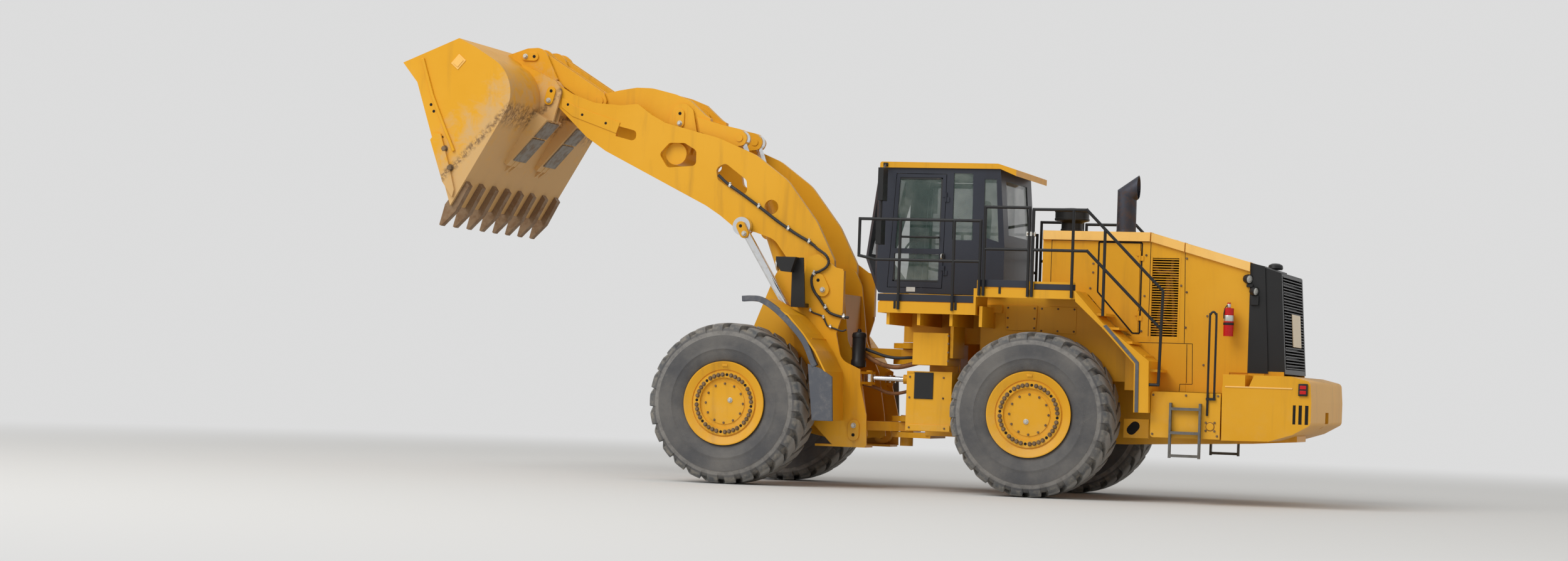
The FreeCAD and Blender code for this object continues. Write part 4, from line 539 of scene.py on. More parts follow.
def rimDetails(where, x, side, look):
    middle = np.array([x, side * layout["wheelMiddle"], layout["axleHeight"]])
    out = np.array([0.0, side, 0.0])

    def spot(r, a, d):
        return middle + np.array([r * math.sin(a), 0.0, r * math.cos(a)]) + out * d

    bolts, holes = Shape(), Shape()
    for k in range(look["positions"]):
        a = 2 * math.pi * (k + 0.5) / look["positions"]
        if k % look["perGroup"]:
            for form in boltForm(spot(look["boltCircle"], a, look["ringPlane"]), out, look["boltSize"], k * 0.7):
                bolts.add(*form)
        else:
            holes.add(*turnedForm([(0.019, -0.002), (0.019, 0.0012), (0.013, 0.002)],
                                  spot(look["boltCircle"], a, look["ringPlane"]), out, 16))
    for k in range(look["studs"]):
        a = 2 * math.pi * k / look["studs"]
        for form in boltForm(spot(look["studCircle"], a, look["coverPlane"]), out, look["studSize"], k * 0.4):
            bolts.add(*form)
    makePiece("rimBolts_" + where, bolts, boltSteel, "wheel_" + where)
    makePiece("rimHoles_" + where, holes, darkSeamAndHoleShade, "wheel_" + where)
    px, pz = look["plugFront"] if "front" in where else look["plugRear"]
    plug = Shape()
    base = middle + out * look["coverPlane"] + [px, 0, pz]
    plug.add(*turnedForm([(0.034, -0.002), (0.034, 0.006), (0.029, 0.010)], base, out, 24))
    plug.add(*turnedForm([(0.021, 0.008), (0.021, 0.026), (0.017, 0.030)], base, out, 6, 0.2))
    makePiece("hubPlug_" + where, plug, plugSteel, "wheel_" + where)
    lock = Shape()
    lock.add(*boxForm(x - 0.035, x + 0.035, side * (layout["wheelMiddle"] + 0.38), side * (layout["wheelMiddle"] + 0.402),
                      layout["axleHeight"] + 0.468, layout["axleHeight"] + 0.498))
    makePiece("gutterBlock_" + where, lock, yellowPaint, "wheel_" + where, bevel=0.004)


for where, (x, side) in wheels.items():
    rimDetails(where, x, side, rimLook)
print("rims made")


# Keeper plates over the pins, each with a bolt and a dark disc painted as the shade in its grease hole

keepers = [
    # name, node that it lies on, body, pin, bolt, half width
    ("bucketPin", "bucket", "bucket", (-4.332, 5.110), (-4.366, 4.984), 0.062, yellowPaint),
    ("linkPin", "bucket", "bucket", (-4.659, 5.589), (-4.786, 5.592), 0.060, yellowPaint),
    ("pivotPin", "boom", "boom", (-2.568, 4.842), (-2.569, 4.712), 0.060, yellowPaint),
    ("liftPin", "lift_rods", "lift_rods", (-1.573, 3.348), (-1.522, 3.250), 0.062, yellowPaint),
    ("boomPin", "front_frame", "front_frame", (-0.459, 2.660), (-0.397, 2.538), 0.090, yellowPaint),
    ("liftBase", "front_frame", "front_frame", (0.083, 0.678), (0.083, 0.800), 0.075, yellowPaint),
]
for name, node, body, pin, bolt, halfWidth, paint in keepers:
    plates, bolts, holes = Shape(), Shape(), Shape()
    for side in (-1, 1):
        base = seen(node, bolt[0], bolt[1], side) or seen(node, pin[0], pin[1], side) - 0.02
        face = max(seen(node, pin[0], pin[1], side) + 0.006, base + 0.018)
        plates.add(*plateForm(stadium(pin, bolt, halfWidth, 10), side, base - 0.004, face))
        for form in boltForm((bolt[0], side * face, bolt[1]), (0, side, 0), 0.058, 0.2):
            bolts.add(*form)
        holes.add(*turnedForm([(0.022, -0.004), (0.022, 0.0015), (0.017, 0.002)], (pin[0], side * face, pin[1]),
                              (0, side, 0), 20))
    makePiece("keeper_" + name, plates, paint, body, bevel=0.004)
    makePiece("keeperBolt_" + name, bolts, plugSteel, body)
    makePiece("keeperHoleShade_" + name, holes, darkSeamAndHoleShade, body)
print("keeper plates made")


# Hoses: each follows a smooth line through its points and is held by clamps

hoseLook = {"clampWidth": 0.030, "clampOver": 0.008}


def hoseWithClamps(name, points, radius, material, body, clampShares=(), ribs=0.0, pitch=0.02, sides=12, clampFoot=0.0):
    line = smoothPath(points, 160 if ribs else 90)
    piece = makePiece(name, Shape().add(*tubeForm(line, radius, sides, ribs, pitch)), material, body)
    if clampShares:
        clamps = Shape()
        for share in clampShares:
            k = int(share * (len(line) - 2))
            way = line[k + 1] - line[k]
            clamps.add(*turnedForm([(radius + hoseLook["clampOver"], -hoseLook["clampWidth"] / 2),
                                    (radius + hoseLook["clampOver"], hoseLook["clampWidth"] / 2)], line[k], way, 14))
            clamps.add(*turnedForm([(0.014, -0.01), (0.014, clampFoot + 0.012)], line[k] + [0, 0, radius + 0.012],
                                   (0, math.copysign(1, -line[k][1]), 0), 6))
        makePiece(name + "_clamps", clamps, plugSteel, body)
    return piece, line


boomHose = [(-1.945, 4.020), (-1.814, 3.907), (-1.588, 3.761), (-1.33, 3.585), (-1.105, 3.425), (-0.849, 3.265),
            (-0.690, 3.179), (-0.600, 3.120)]
dropHose = [(-0.600, 3.120), (-0.530, 3.075), (-0.451, 3.035), (-0.365, 2.985), (-0.324, 2.906), (-0.355, 2.831),
            (-0.441, 2.775), (-0.518, 2.742), (-0.548, 2.667), (-0.521, 2.540), (-0.428, 2.414), (-0.335, 2.289),
            (-0.278, 2.238), (-0.155, 2.199), (-0.030, 2.185)]
boomSide, flankSide = seen("boom", -1.0, 3.55, -1), seen("front_frame", -0.35, 2.30, -1)
hoseWithClamps("boomHose", [(x, -(boomSide + 0.022), z) for x, z in boomHose], 0.020, blackRubber, "boom",
               (0.18, 0.42, 0.66, 0.90))
shares = np.clip(np.arange(len(dropHose)) / 3.0, 0, 1)
hoseWithClamps("dropHose", [(x, -(boomSide + 0.022 + (flankSide - boomSide + 0.006) * float(w)), z)
                            for (x, z), w in zip(dropHose, shares)], 0.020, blackRubber,
               ("boom", "front_frame", (-0.58, -0.8, 3.11), (-0.36, -0.8, 2.98)), (0.50, 0.78, 0.97), 0.004, 0.026)
thinLine = [(-0.567, 2.273), (-0.520, 2.240), (-0.465, 2.222), (-0.400, 2.200), (-0.363, 2.161), (-0.335, 2.105),
            (-0.305, 2.067), (-0.215, 2.038), (-0.120, 2.010), (-0.060, 2.030)]
hoseWithClamps("thinLine", [(x, -(flankSide + 0.014), z) for x, z in thinLine], 0.011, blackRubber, "front_frame",
               (0.04, 0.42, 0.72))
print("hoses made")


# Trim on the machine's sides: thin plates, strips along lines, and bolts, alike on the left and the right

def rect(x1, z1, x2, z2):
    return [(x1, z1), (x2, z1), (x2, z2), (x1, z2)]


def band(points, width):
    # outline of a strip along a line: each point moves half the width to both sides, along the line's normal
    p = np.asarray(points, float)
    step = np.gradient(p, axis=0)
    step /= np.linalg.norm(step, axis=1)[:, None]
    across = np.column_stack([-step[:, 1], step[:, 0]]) * width / 2
    return np.vstack([p + across, (p - across)[::-1]])


def trim(name, rows, material, body="rear_frame", bevel=0.0, sides=(-1, 1)):
    # rows of (outline, inner and outer distance from the machine's middle)
    shape = Shape()
    for side in sides:
        for outline, inner, outer in rows:
            shape.add(*plateForm(outline, side, inner, outer))
    return makePiece(name, shape, material, body, bevel=bevel)


def boltRow(name, spots, size, material, body="rear_frame", sides=(-1, 1)):
    # spots of (x, z, distance of the face from the machine's middle)
    shape = Shape()
    for side in sides:
        for number, (x, z, face) in enumerate(spots):
            for form in boltForm((x, side * face, z), (0, side, 0), size, number * 0.5):
                shape.add(*form)
    return makePiece(name, shape, material, body)


def discs(name, spots, radius, material, body="rear_frame", rim=0.004):
    # round plugs and holes: spots of (x, z, face)
    shape = Shape()
    for side in (-1, 1):
        for x, z, face in spots:
            shape.add(*turnedForm([(radius, -0.003), (radius, rim * 0.6), (radius * 0.86, rim)], (x, side * face, z),
                                  (0, side, 0), 24))
    return makePiece(name, shape, material, body)


def ledgeForm(line, profile, side):
    # closed profile of (distance from the middle, height) carried along a line of (x, z)
    a, p = np.asarray(line, float), np.asarray(profile, float)
    spots = np.stack([np.broadcast_to(a[:, :1], (len(a), len(p))), np.broadcast_to(side * p[:, 0], (len(a), len(p))),
                      a[:, 1:] + p[:, 1]], -1)
    faces = gridFaces(len(a), len(p), closeColumns=True, flip=side < 0)
    ends = [list(range(len(p))), list(range((len(a) - 1) * len(p), len(a) * len(p)))[::-1]]
    return spots.reshape(-1, 3), faces + (ends if side < 0 else [e[::-1] for e in ends])


# Hood: folded top edge in three lengths painted pale as a highlight, seams and a painted shadow line under the edge,
# the panels below it, bolts and the gap round the engine doors

hoodLook = {
    "edges": [[(2.530, 3.348), (3.897, 3.348)], [(3.909, 3.346), (4.334, 3.228)], [(4.344, 3.225), (5.157, 3.002)]],
    "edgeProfile": [(0.940, -0.108), (0.992, -0.108), (0.977, 0.008), (0.800, 0.008), (0.800, -0.012), (0.940, -0.012)],
    # the line at height 3.236 under the top edge is a painted shadow cast by the edge; the other seams are dark joints
    "seams": [[(2.640, 2.690), (2.640, 3.238)], [(2.640, 3.236), (3.896, 3.236)], [(3.904, 3.236), (3.904, 2.060)],
              [(4.340, 3.115), (4.362, 1.985)], [(3.700, 1.978), (4.465, 1.980)], [(4.465, 1.980), (4.478, 1.480)],
              [(4.478, 1.478), (4.322, 1.474)], [(4.322, 1.474), (4.316, 1.380)], [(4.395, 1.972), (4.405, 1.490)]],
    "doorEdge": [(3.245, 3.224), (3.793, 3.224), (3.793, 2.090), (3.704, 2.090), (3.245, 2.598), (3.245, 3.224)],
    "bolts": [(3.850, 3.070), (3.842, 2.560), (3.815, 2.120), (4.362, 3.040), (4.300, 2.700), (4.372, 2.620),
              (4.372, 2.180), (4.640, 2.330), (4.610, 1.720), (3.180, 2.950), (3.180, 2.840), (3.150, 2.640)],
}
# pale yellow paint; on the hood's top edge and the counterweight's ledge its pale colour is a painted highlight along
# the edge
paleAndHighlightPaint = paintFinish("paleAndHighlightPaint", dict(yellowLook, colour=tone(244, 190, 98), fade=tone(248, 200, 118), streaks=0.15))
trimEdges = Shape()
for side in (-1, 1):
    for line in hoodLook["edges"]:
        trimEdges.add(*ledgeForm(line, hoodLook["edgeProfile"], side))
makePiece("hoodTopEdge", trimEdges, paleAndHighlightPaint, "rear_frame", bevel=0.004)
trim("hoodSeamsAndEdgeShadow", [(band(line, 0.007), 0.942, 0.9516) for line in hoodLook["seams"]], darkSeamAndHoleShade)
trim("doorGap", [(band(pair, 0.020), 0.942, 0.9525) for pair in zip(hoodLook["doorEdge"][:-1], hoodLook["doorEdge"][1:])],
     darkSeamAndHoleShade)
boltRow("hoodBolts", [(x, z, 0.950) for x, z in hoodLook["bolts"]], 0.024, boltSteel)
trim("lowerPanel", [(rect(3.625, 1.376, 4.395, 2.060), 0.925, 0.9505), (rect(4.395, 1.376, 4.936, 2.060), 0.925, 0.9503),
                    (rect(4.936, 1.600, 5.610, 1.665), 0.915, 0.935), (rect(4.945, 1.440, 5.220, 1.609), 0.900, 1.4985)],
     yellowPaint, bevel=0.003)
trim("wheelWell", [([(1.720, 1.480), (3.760, 1.480), (3.760, 2.300), (3.000, 2.500), (1.720, 2.500)], 0.800, 0.815)],
     yellowPaint)
trim("wellPanels", [([(2.053, 2.085), (2.440, 2.085), (2.455, 2.400), (2.040, 2.400)], 0.815, 0.835),
                    ([(2.480, 2.060), (2.960, 2.060), (2.960, 2.400), (2.480, 2.400)], 0.815, 0.822)],
     yellowPaint, bevel=0.012)
boltRow("wellBolts", [(x, z, 0.834) for x in (2.075, 2.420) for z in (2.12, 2.24, 2.37)] +
        [(x, z, 0.8215) for x in (2.51, 2.72, 2.93) for z in (2.09, 2.37)], 0.022, boltSteel)
trim("frameEar", [(rect(3.610, 0.780, 3.935, 1.020), 0.840, 0.870)], yellowPaint, bevel=0.006)
# dark slotted shape on the frame ear: painted shade of its hole
trim("frameEarHoleShade", [(stadium((3.715, 0.880), (3.760, 0.930), 0.060), 0.865, 0.8715)], darkSeamAndHoleShade)

# Side grille: thin bars in a frame, with pipes and, behind them, a dark sheet of painted shade for the space inside

grilleLook = {"x": (3.926, 4.274), "z": (2.020, 3.035), "pitch": 0.0312, "bar": 0.0105}
rustPipe = metalFinish("rustPipe", tone(150, 106, 70), tone(96, 68, 46), 0.6, 0.35, 0.7)
(gx1, gx2), (gz1, gz2) = grilleLook["x"], grilleLook["z"]
barRows = [(rect(gx1, z, gx2, z + grilleLook["bar"]), 0.926, 0.9445) for z in np.arange(gz1, gz2, grilleLook["pitch"])]
barRows += [(rect(gx1 - 0.014, gz1 - 0.016, gx1 + 0.006, gz2 + 0.016), 0.926, 0.954),
            (rect(gx2 - 0.006, gz1 - 0.016, gx2 + 0.014, gz2 + 0.016), 0.926, 0.954)]
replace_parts(trim("grilleBars", barRows, yellowPaint), "side_grilles")
# dark sheet behind the bars and pipes: painted shade
trim("grilleBackShade", [(rect(3.900, 1.990, 4.300, 3.060), 0.640, 0.655)], darkSeamAndHoleShade)
pipes = Shape()
for side in (-1, 1):
    for points, radius in (
            ([(4.02, 0.78, 2.00), (4.03, 0.80, 2.35), (4.11, 0.79, 2.62), (4.12, 0.78, 2.80)], 0.045),
            ([(4.20, 0.83, 2.02), (4.19, 0.84, 2.45), (4.16, 0.84, 2.80), (4.17, 0.83, 3.04)], 0.020),
            ([(3.92, 0.82, 2.95), (4.02, 0.84, 2.86), (4.14, 0.84, 2.88), (4.28, 0.82, 2.74)], 0.030),
            ([(3.95, 0.84, 2.15), (4.05, 0.86, 2.28), (4.16, 0.86, 2.22), (4.27, 0.83, 2.36)], 0.024)):
        pipes.add(*tubeForm(smoothPath([(x, side * y, z) for x, y, z in points], 26), radius, 14))
makePiece("grillePipes", pipes, rustPipe, "rear_frame")
print("hood dressed")

# Deck and stairs: dark kick plates, blank plate, gate clamp, rubber edge

deckLook = {
    "kicks": [rect(0.553, 2.397, 1.808, 2.486), rect(1.852, 2.604, 2.466, 2.692), rect(2.568, 2.585, 3.090, 2.657)],
    "brackets": [rect(0.770, 2.300, 0.800, 2.400), rect(1.560, 2.300, 1.590, 2.400), rect(2.120, 2.520, 2.150, 2.610)],
    "stairEdge": [(3.470, 2.155), (3.509, 2.171), (3.928, 1.722), (3.938, 1.107), (3.893, 1.106), (3.885, 1.706)],
}
trim("kickPlates", [(outline, 1.556, 1.566) for outline in deckLook["kicks"]], cabPaint, bevel=0.002)
trim("deckBrackets", [(outline, 1.585, 1.598) for outline in deckLook["brackets"]], blackPaint, bevel=0.003)
trim("stairRubber", [(deckLook["stairEdge"], 1.630, 1.650)], edgeRubber, bevel=0.004)
trim("blankPlate", [(rect(0.736, 2.541, 0.854, 2.599), 0.868, 0.8725)], plugSteel, bevel=0.001)
trim("gateClamp", [(rect(2.456, 3.246, 2.571, 3.300), 1.595, 1.624)], plugSteel, bevel=0.004)
boltRow("gateBolts", [(2.480, 3.273, 1.623), (2.546, 3.273, 1.623)], 0.018, boltSteel)

# Side boxes, low box and counterweight: bolts, round cover, dark screen, lamps, and slots drawn as dark strips of
# painted shade

greySteel = metalFinish("greySteel", tone(112, 110, 106), tone(92, 84, 74), 0.5, 0.5, 0.6)
for name in ("ladders",):
    nodes[name].data.materials[0] = greySteel
boltRow("boxBolts", [(x, z, 1.500) for x, z in ((4.095, 1.330), (4.500, 1.335), (4.895, 1.340), (4.095, 0.850),
                                                (4.895, 0.850), (4.755, 1.010), (4.862, 0.910), (4.755, 0.912),
                                                (4.862, 1.012))], 0.024, boltSteel)
discs("roundCover", [(4.808, 0.962, 1.500)], 0.047, yellowPaint, rim=0.012)
discs("roundCoverRing", [(4.808, 0.962, 1.499)], 0.056, rustPipe, rim=0.003)
trim("lowBoxScreen", [(rect(0.991, 1.175, 1.237, 1.510), 1.256, 1.272)], blackPaint, bevel=0.004)
trim("lowBoxLip", [(rect(0.895, 0.770, 1.470, 0.850), 1.258, 1.275), (rect(0.895, 1.500, 0.985, 1.520), 1.258, 1.268)],
     yellowPaint, bevel=0.004)
boltRow("lowBoxBolts", [(0.930, 1.450, 1.260), (1.370, 1.450, 1.260), (0.930, 1.190, 1.260), (1.370, 1.190, 1.260),
                        (0.940, 0.810, 1.275), (1.400, 0.810, 1.275)], 0.022, boltSteel)
boltRow("upperBoxBolts", [(1.440, z, 1.350) for z in (1.66, 1.77, 1.88, 1.98)], 0.022, boltSteel)
trim("tailLamp", [(rect(5.872, 1.375, 5.985, 1.525), 1.495, 1.528)], blackPaint, bevel=0.008)
trim("tailLens", [(rect(5.890, 1.398, 5.967, 1.442), 1.524, 1.533), (rect(5.890, 1.458, 5.967, 1.502), 1.524, 1.533)],
     redPaint, bevel=0.004)
# three slots in the counterweight: dark strips of painted shade
trim("weightSlotShades", [(rect(x, 1.030, x + w, 1.262), 1.494, 1.5015) for x, w in ((5.810, 0.034), (5.880, 0.040),
                                                                               (5.958, 0.040))], darkSeamAndHoleShade)
# ledge along the counterweight's top: its pale colour is a painted highlight line at the edge
trim("weightLedge", [(rect(4.975, 1.452, 5.800, 1.470), 1.496, 1.508)], paleAndHighlightPaint, bevel=0.005)

# Rear: work lamps on the shroud, rounded lamp on top

lampGlass = glassFinish("lampGlass", tone(210, 212, 206))
lampBody, lampFace = Shape(), Shape()
for side in (-1, 1):
    for (x, y, z), way, radius in (((5.150, 0.985, 2.800), (0.75, 0.55, -0.1), 0.060), ((5.235, 1.000, 2.650), (0.8, 0.5, -0.1), 0.055),
                                   ((1.850, 0.760, 4.040), (0.95, 0.25, -0.2), 0.062), ((0.330, 0.760, 4.110), (-1, 0.15, -0.2), 0.058)):
        aim = (way[0], side * way[1], way[2])
        lampBody.add(*turnedForm([(radius * 0.45, -0.075), (radius * 0.8, -0.06), (radius, -0.02), (radius, 0.012),
                                  (radius * 0.9, 0.016), (radius * 0.86, 0.004)], (x, side * y, z), aim, 20))
        lampFace.add(*turnedForm([(radius * 0.87, 0.002), (radius * 0.8, 0.010), (radius * 0.4, 0.016)], (x, side * y, z), aim, 20))
makePiece("workLamps", lampBody, blackPaint, "rear_frame")
makePiece("workLampGlass", lampFace, plugSteel, "rear_frame")
topLamp = Shape().add(*turnedForm([(0.085, -0.012), (0.095, 0.010), (0.088, 0.045), (0.050, 0.066), (0.010, 0.070)],
                                  (5.330, 0.0, 2.975), (0, 0, 1), 28))
makePiece("topLamp", topLamp, blackPaint, "rear_frame")
trim("rearBrackets", [(rect(5.175, 2.480, 5.275, 2.600), 0.945, 0.985), (rect(5.120, 2.700, 5.200, 2.740), 0.945, 0.990)],
     blackPaint, bevel=0.006)

# Rear grille: many thin bars across the door, and a blank plate, both on the door's leaning face

backLook = {"z": (1.710, 2.900), "pitch": 0.0365, "bar": 0.013, "half": 0.830, "plateY": (-0.200, 0.530), "plateZ": (1.990, 2.400)}


def behind(node, y, z):
    # how far back a node reaches at a place of its rear view
    hit, place, _, _ = nodes[node].ray_cast((9.0, y, z), (-1.0, 0.0, 0.0))
    return place[0] if hit else 0.0


lowX, highX = behind("rear_grille_door", -0.900, 1.75), behind("rear_grille_door", -0.900, 2.85)
lean = (highX - lowX) / 1.10
thinBars = Shape()
for z in np.arange(*backLook["z"], backLook["pitch"]):
    x = lowX + lean * (z - 1.75)
    thinBars.add(*boxForm(x - 0.022, x + 0.003, -backLook["half"], backLook["half"], z, z + backLook["bar"]))
makePiece("thinBars", thinBars, blackPaint, "rear_grille_door")
(y1, y2), (z1, z2) = backLook["plateY"], backLook["plateZ"]
rearPlate = Shape()
x1, x2 = lowX + lean * (z1 - 1.75), lowX + lean * (z2 - 1.75)
rearPlate.add(*plateForm([(x1 + 0.002, z1), (x1 + 0.012, z1), (x2 + 0.012, z2), (x2 + 0.002, z2)], 1, y1, y2))
blankTan = paintFinish("blankTan", dict(yellowLook, colour=tone(224, 204, 168), fade=tone(232, 214, 184), streaks=0.6))
makePiece("rearPlate", rearPlate, blankTan, "rear_grille_door", bevel=0.003)

# Exhaust: straight pipe and a mitred short length to the rear, cut upright at its mouth; the mitre halves the turn

stackLook = {"middle": 3.398, "radius": 0.124, "foot": 3.320, "mitre": 3.880, "rise": math.radians(35), "mouth": 3.546,
             "wall": 0.006, "sides": 40}


def stackRings(look, radius):
    angle = np.linspace(0, 2 * np.pi, look["sides"], endpoint=False)
    x, y = look["middle"] + radius * np.cos(angle), radius * np.sin(angle)
    half = (math.pi / 2 - look["rise"]) / 2
    bend = look["mitre"] - np.tan(half) * (x - look["middle"])
    reach = (look["mouth"] - x) / math.cos(look["rise"])
    foot = np.stack([x, y, np.full_like(x, look["foot"])], 1)
    turn = np.stack([x, y, bend], 1)
    return [foot, turn, np.stack([np.full_like(x, look["mouth"]), y, bend + reach * math.sin(look["rise"])], 1)]


outerRings, innerRings = stackRings(stackLook, stackLook["radius"]), stackRings(stackLook, stackLook["radius"] - stackLook["wall"])
stack = Shape().add(np.vstack(outerRings + innerRings[::-1]), gridFaces(6, stackLook["sides"], True, True, flip=True))
stack.add(*turnedForm([(0.150, 3.330), (0.150, 3.372), (0.130, 3.392), (0.1245, 3.430)], (stackLook["middle"], 0, 0), (0, 0, 1), 40))
stackPaint = metalFinish("stackPaint", tone(58, 60, 70), tone(88, 66, 56), 0.45, 0.5, 0.6)
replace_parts(makePiece("stackPipe", stack, stackPaint, "rear_frame", sharp=30.0), "exhaust_stack")

# Intake drum: domed lid, ribbed wall, waist and clamp

drum = Shape().add(*turnedForm([(0.130, 3.300), (0.136, 3.330), (0.136, 3.500), (0.150, 3.515), (0.222, 3.535), (0.226, 3.545),
                                (0.226, 3.560), (0.219, 3.566), (0.219, 3.640), (0.226, 3.646), (0.226, 3.662), (0.205, 3.672),
                                (0.120, 3.694), (0.030, 3.701)], (2.688, 0, 0), (0, 0, 1), 48))
drum.add(*turnedForm([(0.140, 3.395), (0.144, 3.400), (0.144, 3.425), (0.140, 3.430)], (2.688, 0, 0), (0, 0, 1), 48))
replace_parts(makePiece("intakeDrum", drum, blackPaint, "rear_frame", bevel=0.0), "air_precleaner")
print("stack and drum made")

# Cab: door handle, bar and rubber window seal on each door

cabLook = {"glass": (0.548, 2.670, 1.173, 4.010), "seal": 0.024}
gx1, gz1, gx2, gz2 = cabLook["glass"]
for body, side in (("cab_door_left", -1), ("cab_door_right", 1)):
    s = cabLook["seal"]
    sealRows = [(rect(gx1, gz1, gx1 + s, gz2), 0.852, 0.864), (rect(gx2 - s, gz1, gx2, gz2), 0.852, 0.864),
                (rect(gx1, gz1, gx2, gz1 + s), 0.852, 0.864), (rect(gx1, gz2 - s, gx2, gz2), 0.852, 0.864)]
    trim("doorSeal_" + body, sealRows, blackRubber, body, sides=(side,), bevel=0.004)
    bar = Shape().add(*tubeForm([(x, side * 0.905, 3.242) for x in (0.640, 0.80, 1.0, 1.150)], 0.014, 12))
    for x in (0.650, 1.140):
        bar.add(*tubeForm([(x, side * y, 3.242) for y in (0.850, 0.880, 0.905)], 0.012, 10))
    makePiece("doorBar_" + body, bar, blackPaint, body)
    trim("handlePlate_" + body, [(rect(1.178, 2.960, 1.232, 3.040), 0.890, 0.900)], blackPaint, body,
         sides=(side,), bevel=0.004)
    grip = Shape().add(*tubeForm(smoothPath([(1.205, side * 0.895, 3.030), (1.200, side * 0.935, 3.020), (1.200, side * 0.938, 2.975),
                                             (1.205, side * 0.895, 2.965)], 18), 0.009, 10))
    makePiece("doorGrip_" + body, grip, plugSteel, body)

# Seat: crowned cushions; each spot is the middle plus the half sizes times signed powers of cosine and sine

def padForm(middle, half, lean=0.0, rows=20, columns=44, square=0.42):
    u = np.linspace(-np.pi / 2, np.pi / 2, rows)[:, None]
    v = np.linspace(0, 2 * np.pi, columns, endpoint=False)[None, :]
    power = lambda value, e: np.sign(value) * np.abs(value) ** e
    ring = power(np.cos(u), square)
    flat = np.stack([half[0] * ring * power(np.cos(v), 0.5), half[1] * ring * power(np.sin(v), 0.5),
                     half[2] * power(np.sin(u), 0.8) * np.ones_like(v)], -1).reshape(-1, 3)
    c, s = math.cos(lean), math.sin(lean)
    turned = np.column_stack([c * flat[:, 0] + s * flat[:, 2], flat[:, 1], -s * flat[:, 0] + c * flat[:, 2]])
    return turned + middle, gridFaces(rows, columns, closeColumns=True, flip=True)


cushions = {"seatCushion": ((1.275, 0, 3.010), (0.265, 0.245, 0.060), 0.0, 0.85),
            "seatBack": ((1.520, 0, 3.400), (0.345, 0.235, 0.058), math.radians(-87), 0.85),
            "headRest": ((1.545, 0, 3.700), (0.075, 0.130, 0.045), math.radians(-88), 0.9)}
for name, (middle, half, lean, fill) in cushions.items():
    pad = makePiece(name, Shape().add(*padForm(middle, half, lean)), seatCloth, "rear_frame", sharp=180.0)
seatFrame = Shape().add(*boxForm(1.090, 1.500, -0.200, 0.200, 2.570, 2.700)).add(*boxForm(1.150, 1.450, -0.150, 0.150, 2.700, 2.950))
seatFrame.add(*plateForm([(0.488, 2.566), (0.568, 3.180), (0.620, 3.180), (0.608, 2.566)], 1, -0.055, 0.055))
seatFrame.add(*boxForm(1.150, 1.480, 0.255, 0.330, 3.100, 3.180)).add(*boxForm(1.150, 1.480, -0.330, -0.255, 3.100, 3.180))
framePiece = makePiece("seatFrame", seatFrame, blackPaint, "rear_frame", bevel=0.012)
turn = np.linspace(0, 2 * np.pi, 49)
rimLine = np.column_stack([0.603 + 0.170 * np.cos(turn) * 0.72, 0.170 * np.sin(turn), 3.225 + 0.170 * np.cos(turn) * 0.69])
wheelShape = Shape().add(*tubeForm(rimLine, 0.014, 12))
wheelShape.add(*tubeForm([(0.603, y, 3.225) for y in (-0.165, 0.0, 0.165)], 0.011, 10))
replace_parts(makePiece("steeringWheel", wheelShape, blackPaint, "rear_frame"), "cab_interior")
print("cab dressed")

# Extinguisher: blank label, strap, valve; U-shaped grab rail beside it

bottle = (4.931, -1.100)
label = Shape().add(*turnedForm([(0.0625, 2.270), (0.0632, 2.272), (0.0632, 2.340), (0.0625, 2.342)], (*bottle, 0), (0, 0, 1), 32))
makePiece("bottleLabel", label, plugSteel, "rear_frame")
strap = Shape().add(*turnedForm([(0.0625, 2.222), (0.0665, 2.224), (0.0665, 2.250), (0.0625, 2.252)], (*bottle, 0), (0, 0, 1), 32))
strap.add(*boxForm(4.915, 4.947, -1.045, -0.945, 2.215, 2.258))
strap.add(*tubeForm(smoothPath([(4.931, -1.10, 2.470), (4.900, -1.13, 2.450), (4.880, -1.15, 2.380), (4.878, -1.155, 2.300)], 16), 0.007, 8))
makePiece("bottleStrap", strap, blackPaint, "rear_frame", bevel=0.002)
valve = Shape().add(*turnedForm([(0.020, 2.430), (0.024, 2.445), (0.024, 2.480), (0.014, 2.498)], (*bottle, 0), (0, 0, 1), 16))
makePiece("bottleValve", valve, plugSteel, "rear_frame")
rail = Shape()
for side in (-1, 1):
    rail.add(*tubeForm(smoothPath([(4.768, side * 1.512, 1.095), (4.768, side * 1.512, 1.35), (4.768, side * 1.512, 2.25), (4.778, side * 1.512, 2.34),
                                   (4.808, side * 1.512, 2.368), (4.838, side * 1.512, 2.34), (4.848, side * 1.512, 2.25),
                                   (4.848, side * 1.512, 1.30)], 70), 0.014, 12))
    rail.add(*boxForm(4.750, 4.866, side * 1.496, side * 1.530, 1.285, 1.315))
makePiece("grabRail", rail, blackPaint, "rear_frame")
print("rear side dressed")

# Front frame: rubber fender edge, flap, lamp glass, pressure vessel, guard cover on the boom

frontLook = {
    "fenderEdge": [(-1.225, 2.372), (-1.100, 2.380), (-0.972, 2.365), (-0.770, 2.246), (-0.544, 2.043), (-0.400, 1.880),
                   (-0.330, 1.760), (-0.270, 1.620), (-0.225, 1.540)],
    "guard": [(-4.198, 5.031), (-4.014, 4.916), (-3.356, 4.702), (-3.408, 4.555), (-4.041, 4.778), (-4.203, 4.899)],
    "guardHoleShades": [(-4.110, 4.935), (-3.900, 4.800), (-3.560, 4.690)],
}
trim("fenderRubber", [(band(smoothPath(frontLook["fenderEdge"], 30), 0.072), 1.560, 1.640)], edgeRubber,
     "front_frame", bevel=0.006)
trim("wheelFlap", [([(-0.320, 1.570), (-0.151, 1.515), (0.008, 1.414), (0.034, 0.853), (-0.240, 0.853)], 1.600, 1.634)], edgeRubber,
     "front_frame", bevel=0.006)
headLens = Shape()
